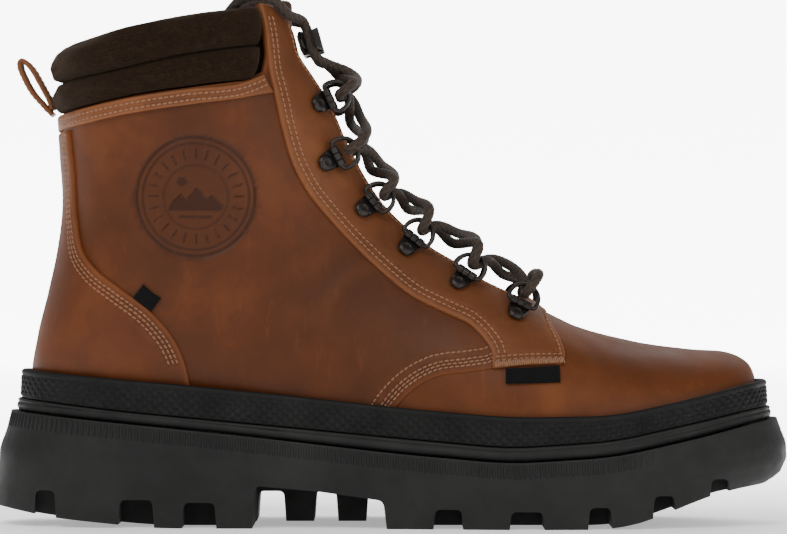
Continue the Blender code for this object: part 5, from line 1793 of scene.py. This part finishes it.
def make_tongue():
    """Padded tongue with a sewn rim."""
    rows, columns = 96, 41
    s = TONGUE_START + (TONGUE_END - TONGUE_START) * np.linspace(0, 1, rows)
    width = fan(s)[:, 4]
    outer, inner = [], []
    for k in range(rows):
        share = np.linspace(-1, 1, columns)
        row = np.full(columns, s[k])
        a = math.pi + share * TONGUE_HALF / width[k]
        to_end = min(k, rows - 1 - k) / 3.0
        rim = np.sqrt(np.clip(1 - np.clip(1 - (1 - np.abs(share)) * 9, 0, 1) ** 2, 0, 1))
        rim = rim * math.sqrt(1 - max(0, 1 - to_end) ** 2) if to_end < 1 else rim
        crown = 3.4 + 6.2 * min(max((s[k] - 18.6) / 1.4, 0), 1)
        bulge = crown * np.clip(1 - (share / 0.5) ** 2, 0, 1) ** 1.3 * min(max((s[k] - 8.8) / 1.2, 0), 1)
        seam = -0.9 * np.exp(-(((1 - np.abs(share)) * TONGUE_HALF - 4.5) / 0.9) ** 2)
        half = TONGUE_THICK / 2
        middle = TONGUE_BACK - half
        outer.append(lifted(row, a, middle + half * rim + bulge + seam))
        inner.append(lifted(row, a, middle - half * rim + 0.5 * bulge))
    outer, inner = np.array(outer), np.array(inner)
    grid = np.concatenate([outer, inner[:, ::-1]], axis=1)
    flat_points = grid.reshape(-1, 3)
    flat_points = flat_points + 0.35 * waves(flat_points, 12, 4.4)[:, None] * (0, 0, 1)
    faces = tube_faces(rows, 2 * columns)
    made = face_out(mesh_piece("padded_tongue", flat_points, faces, PAINT["tongue"], sharp=0,
                               tone=0.12 * waves(flat_points, 9, 1.1)))
    finished(made, "tongue", "tongue_leather", "tongue")


LINING_OUT = -4.7
LINING_IN = -5.9


def make_lining():
    """Brushed lining, open at the throat and the top."""
    rows, columns = 90, 121
    facing = upper.facing
    order = np.argsort(facing[:, 0])
    throat_s, throat_t = facing[order, 0], facing[order, 1]
    top = np.vstack([unrolled([(x, z + 0.4) for x, z in COLLAR_LINE[1:]]),
                     unrolled([(-52.5, 179), (-51.5, 190), (-50.6, 201.5)])])
    order = np.argsort(top[:, 1])
    top_t, top_s = top[order, 1], np.maximum.accumulate(top[order, 0])
    share = np.linspace(-1, 1, columns)
    limit_at = np.linspace(0.9, 21, 200)
    limit = np.interp(limit_at, throat_s, throat_t) - 0.012
    opening = np.clip((limit_at - throat_s[0] + 0.4) / 0.5, 0, 1)
    limit = 1 + (limit - 1) * opening
    grids = []
    for lift in (LINING_OUT, LINING_IN):
        rings = []
        for k in range(rows):
            part = k / (rows - 1)
            edge_t = np.abs(share) * np.interp(21, limit_at, limit)
            s_end = np.interp(edge_t, top_t, top_s)
            s = 1.0 + (s_end - 1.0) * part
            t = share * np.interp(s, limit_at, limit)
            rings.append(lifted(s, angle_of(s, t), lift))
        grids.append(np.array(rings))
    outer, inner = grids
    count = rows * columns
    points = np.vstack([outer.reshape(-1, 3), inner.reshape(-1, 3)])
    sheet = grid_faces(rows, columns)
    faces = sheet + [tuple(i + count for i in face[::-1]) for face in sheet]
    rim = ([(r * columns, (r + 1) * columns) for r in range(rows - 1)]
           + [((r + 1) * columns - 1, (r + 2) * columns - 1) for r in range(rows - 1)]
           + [((rows - 1) * columns + c, (rows - 1) * columns + c + 1) for c in range(columns - 1)]
           + [(c, c + 1) for c in range(columns - 1)])
    faces += [(a, b, b + count, a + count) for a, b in rim]
    made = face_out(mesh_piece("brushed_lining", points, faces, PAINT["lining"], sharp=60))
    finished(made, "root", "lining", "lining")


LOOP_LINE = [(-136.0, 162.6), (-139.7, 166.7), (-144.2, 171.9), (-147.2, 177.4), (-148.9, 181.5),
             (-149.1, 183.3), (-148.2, 184.4), (-146.6, 183.4), (-143.6, 179.9), (-141.4, 176.0),
             (-139.2, 172.0), (-137.3, 168.4), (-136.1, 164.8)]
LOOP_HALF = 8.0
LOOP_THICK = 0.92
LOOP_SEAM = 0.76         # the stitch rows' place, as a share of the half width


def make_pull_loop():
    """Folded leather strip, sewn along both edges."""
    line = spline(LOOP_LINE, 0.6)
    heading = units(np.gradient(line, axis=0))
    out = np.column_stack([-heading[:, 1], heading[:, 0]])
    section = [(-1, -0.35), (-1, 0.35), (-0.965, 0.85)]
    section += [(y, 1.0 - 0.14 * math.exp(-((abs(y) - LOOP_SEAM) / 0.06) ** 2))
                for y in np.linspace(-0.92, 0.92, 25)]
    section += [(0.965, 0.85), (1, 0.35), (1, -0.35), (0.965, -0.85)]
    section += [(y, -1.0) for y in np.linspace(0.92, -0.92, 13)] + [(-0.965, -0.85)]
    points = []
    for k in range(len(line)):
        for y, rise in section:
            x, z = line[k] + out[k] * rise * LOOP_THICK
            points.append((x, y * LOOP_HALF, z))
    faces = tube_faces(len(line), len(section))
    points = np.array(points)
    made = face_out(mesh_piece("leather_pull_loop", points, faces, PAINT["facing"], sharp=55,
                               tone=0.25 * np.abs(points[:, 1] / LOOP_HALF) ** 8))
    finished(made, "pull_loop", "leather_facing", "pull_loop")
    beads = Beads()
    spots = even(line, STITCH_STEP)
    for y in (-LOOP_SEAM, LOOP_SEAM):
        for a, b in zip(spots[1:-2], spots[2:-1]):
            x, z = (b - a) / np.linalg.norm(b - a)
            way, up = np.array([x, 0, z]), np.array([-z, 0, x])
            middle = np.array([(a[0] + b[0]) / 2, y * LOOP_HALF, (a[1] + b[1]) / 2]) + up * (LOOP_THICK - 0.02)
            cores = [middle + way * share * STITCH_LENGTH for share in (-0.5, -0.4, 0, 0.4, 0.5)]
            beads.add(cores, (0.3, 0.85, 1, 0.85, 0.3), np.array([0, STITCH_RADIUS, 0]), up * STITCH_RADIUS)
    finished(beads.build("loop_threads", PAINT["thread"]), "pull_loop", "leather_facing")


make_tongue()
make_lining()
make_pull_loop()


# ---------------------------------------------------------------- inner pieces that keep their CAD shape

INNER = {"footbed": ("footbed", "footbed"), "insulation": ("batting", "insulation"),
         "insole_board": ("board", "board"), "toe_puff": ("board", "board"),
         "heel_stiffener": ("board", "board"), "midsole_core": ("foam", "foam"), "shank": ("steel", "steel")}

for node_name, (paint_name, slot_name) in INNER.items():
    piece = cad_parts[node_name]
    piece.data.materials.clear()
    piece.data.materials.append(PAINT[paint_name])
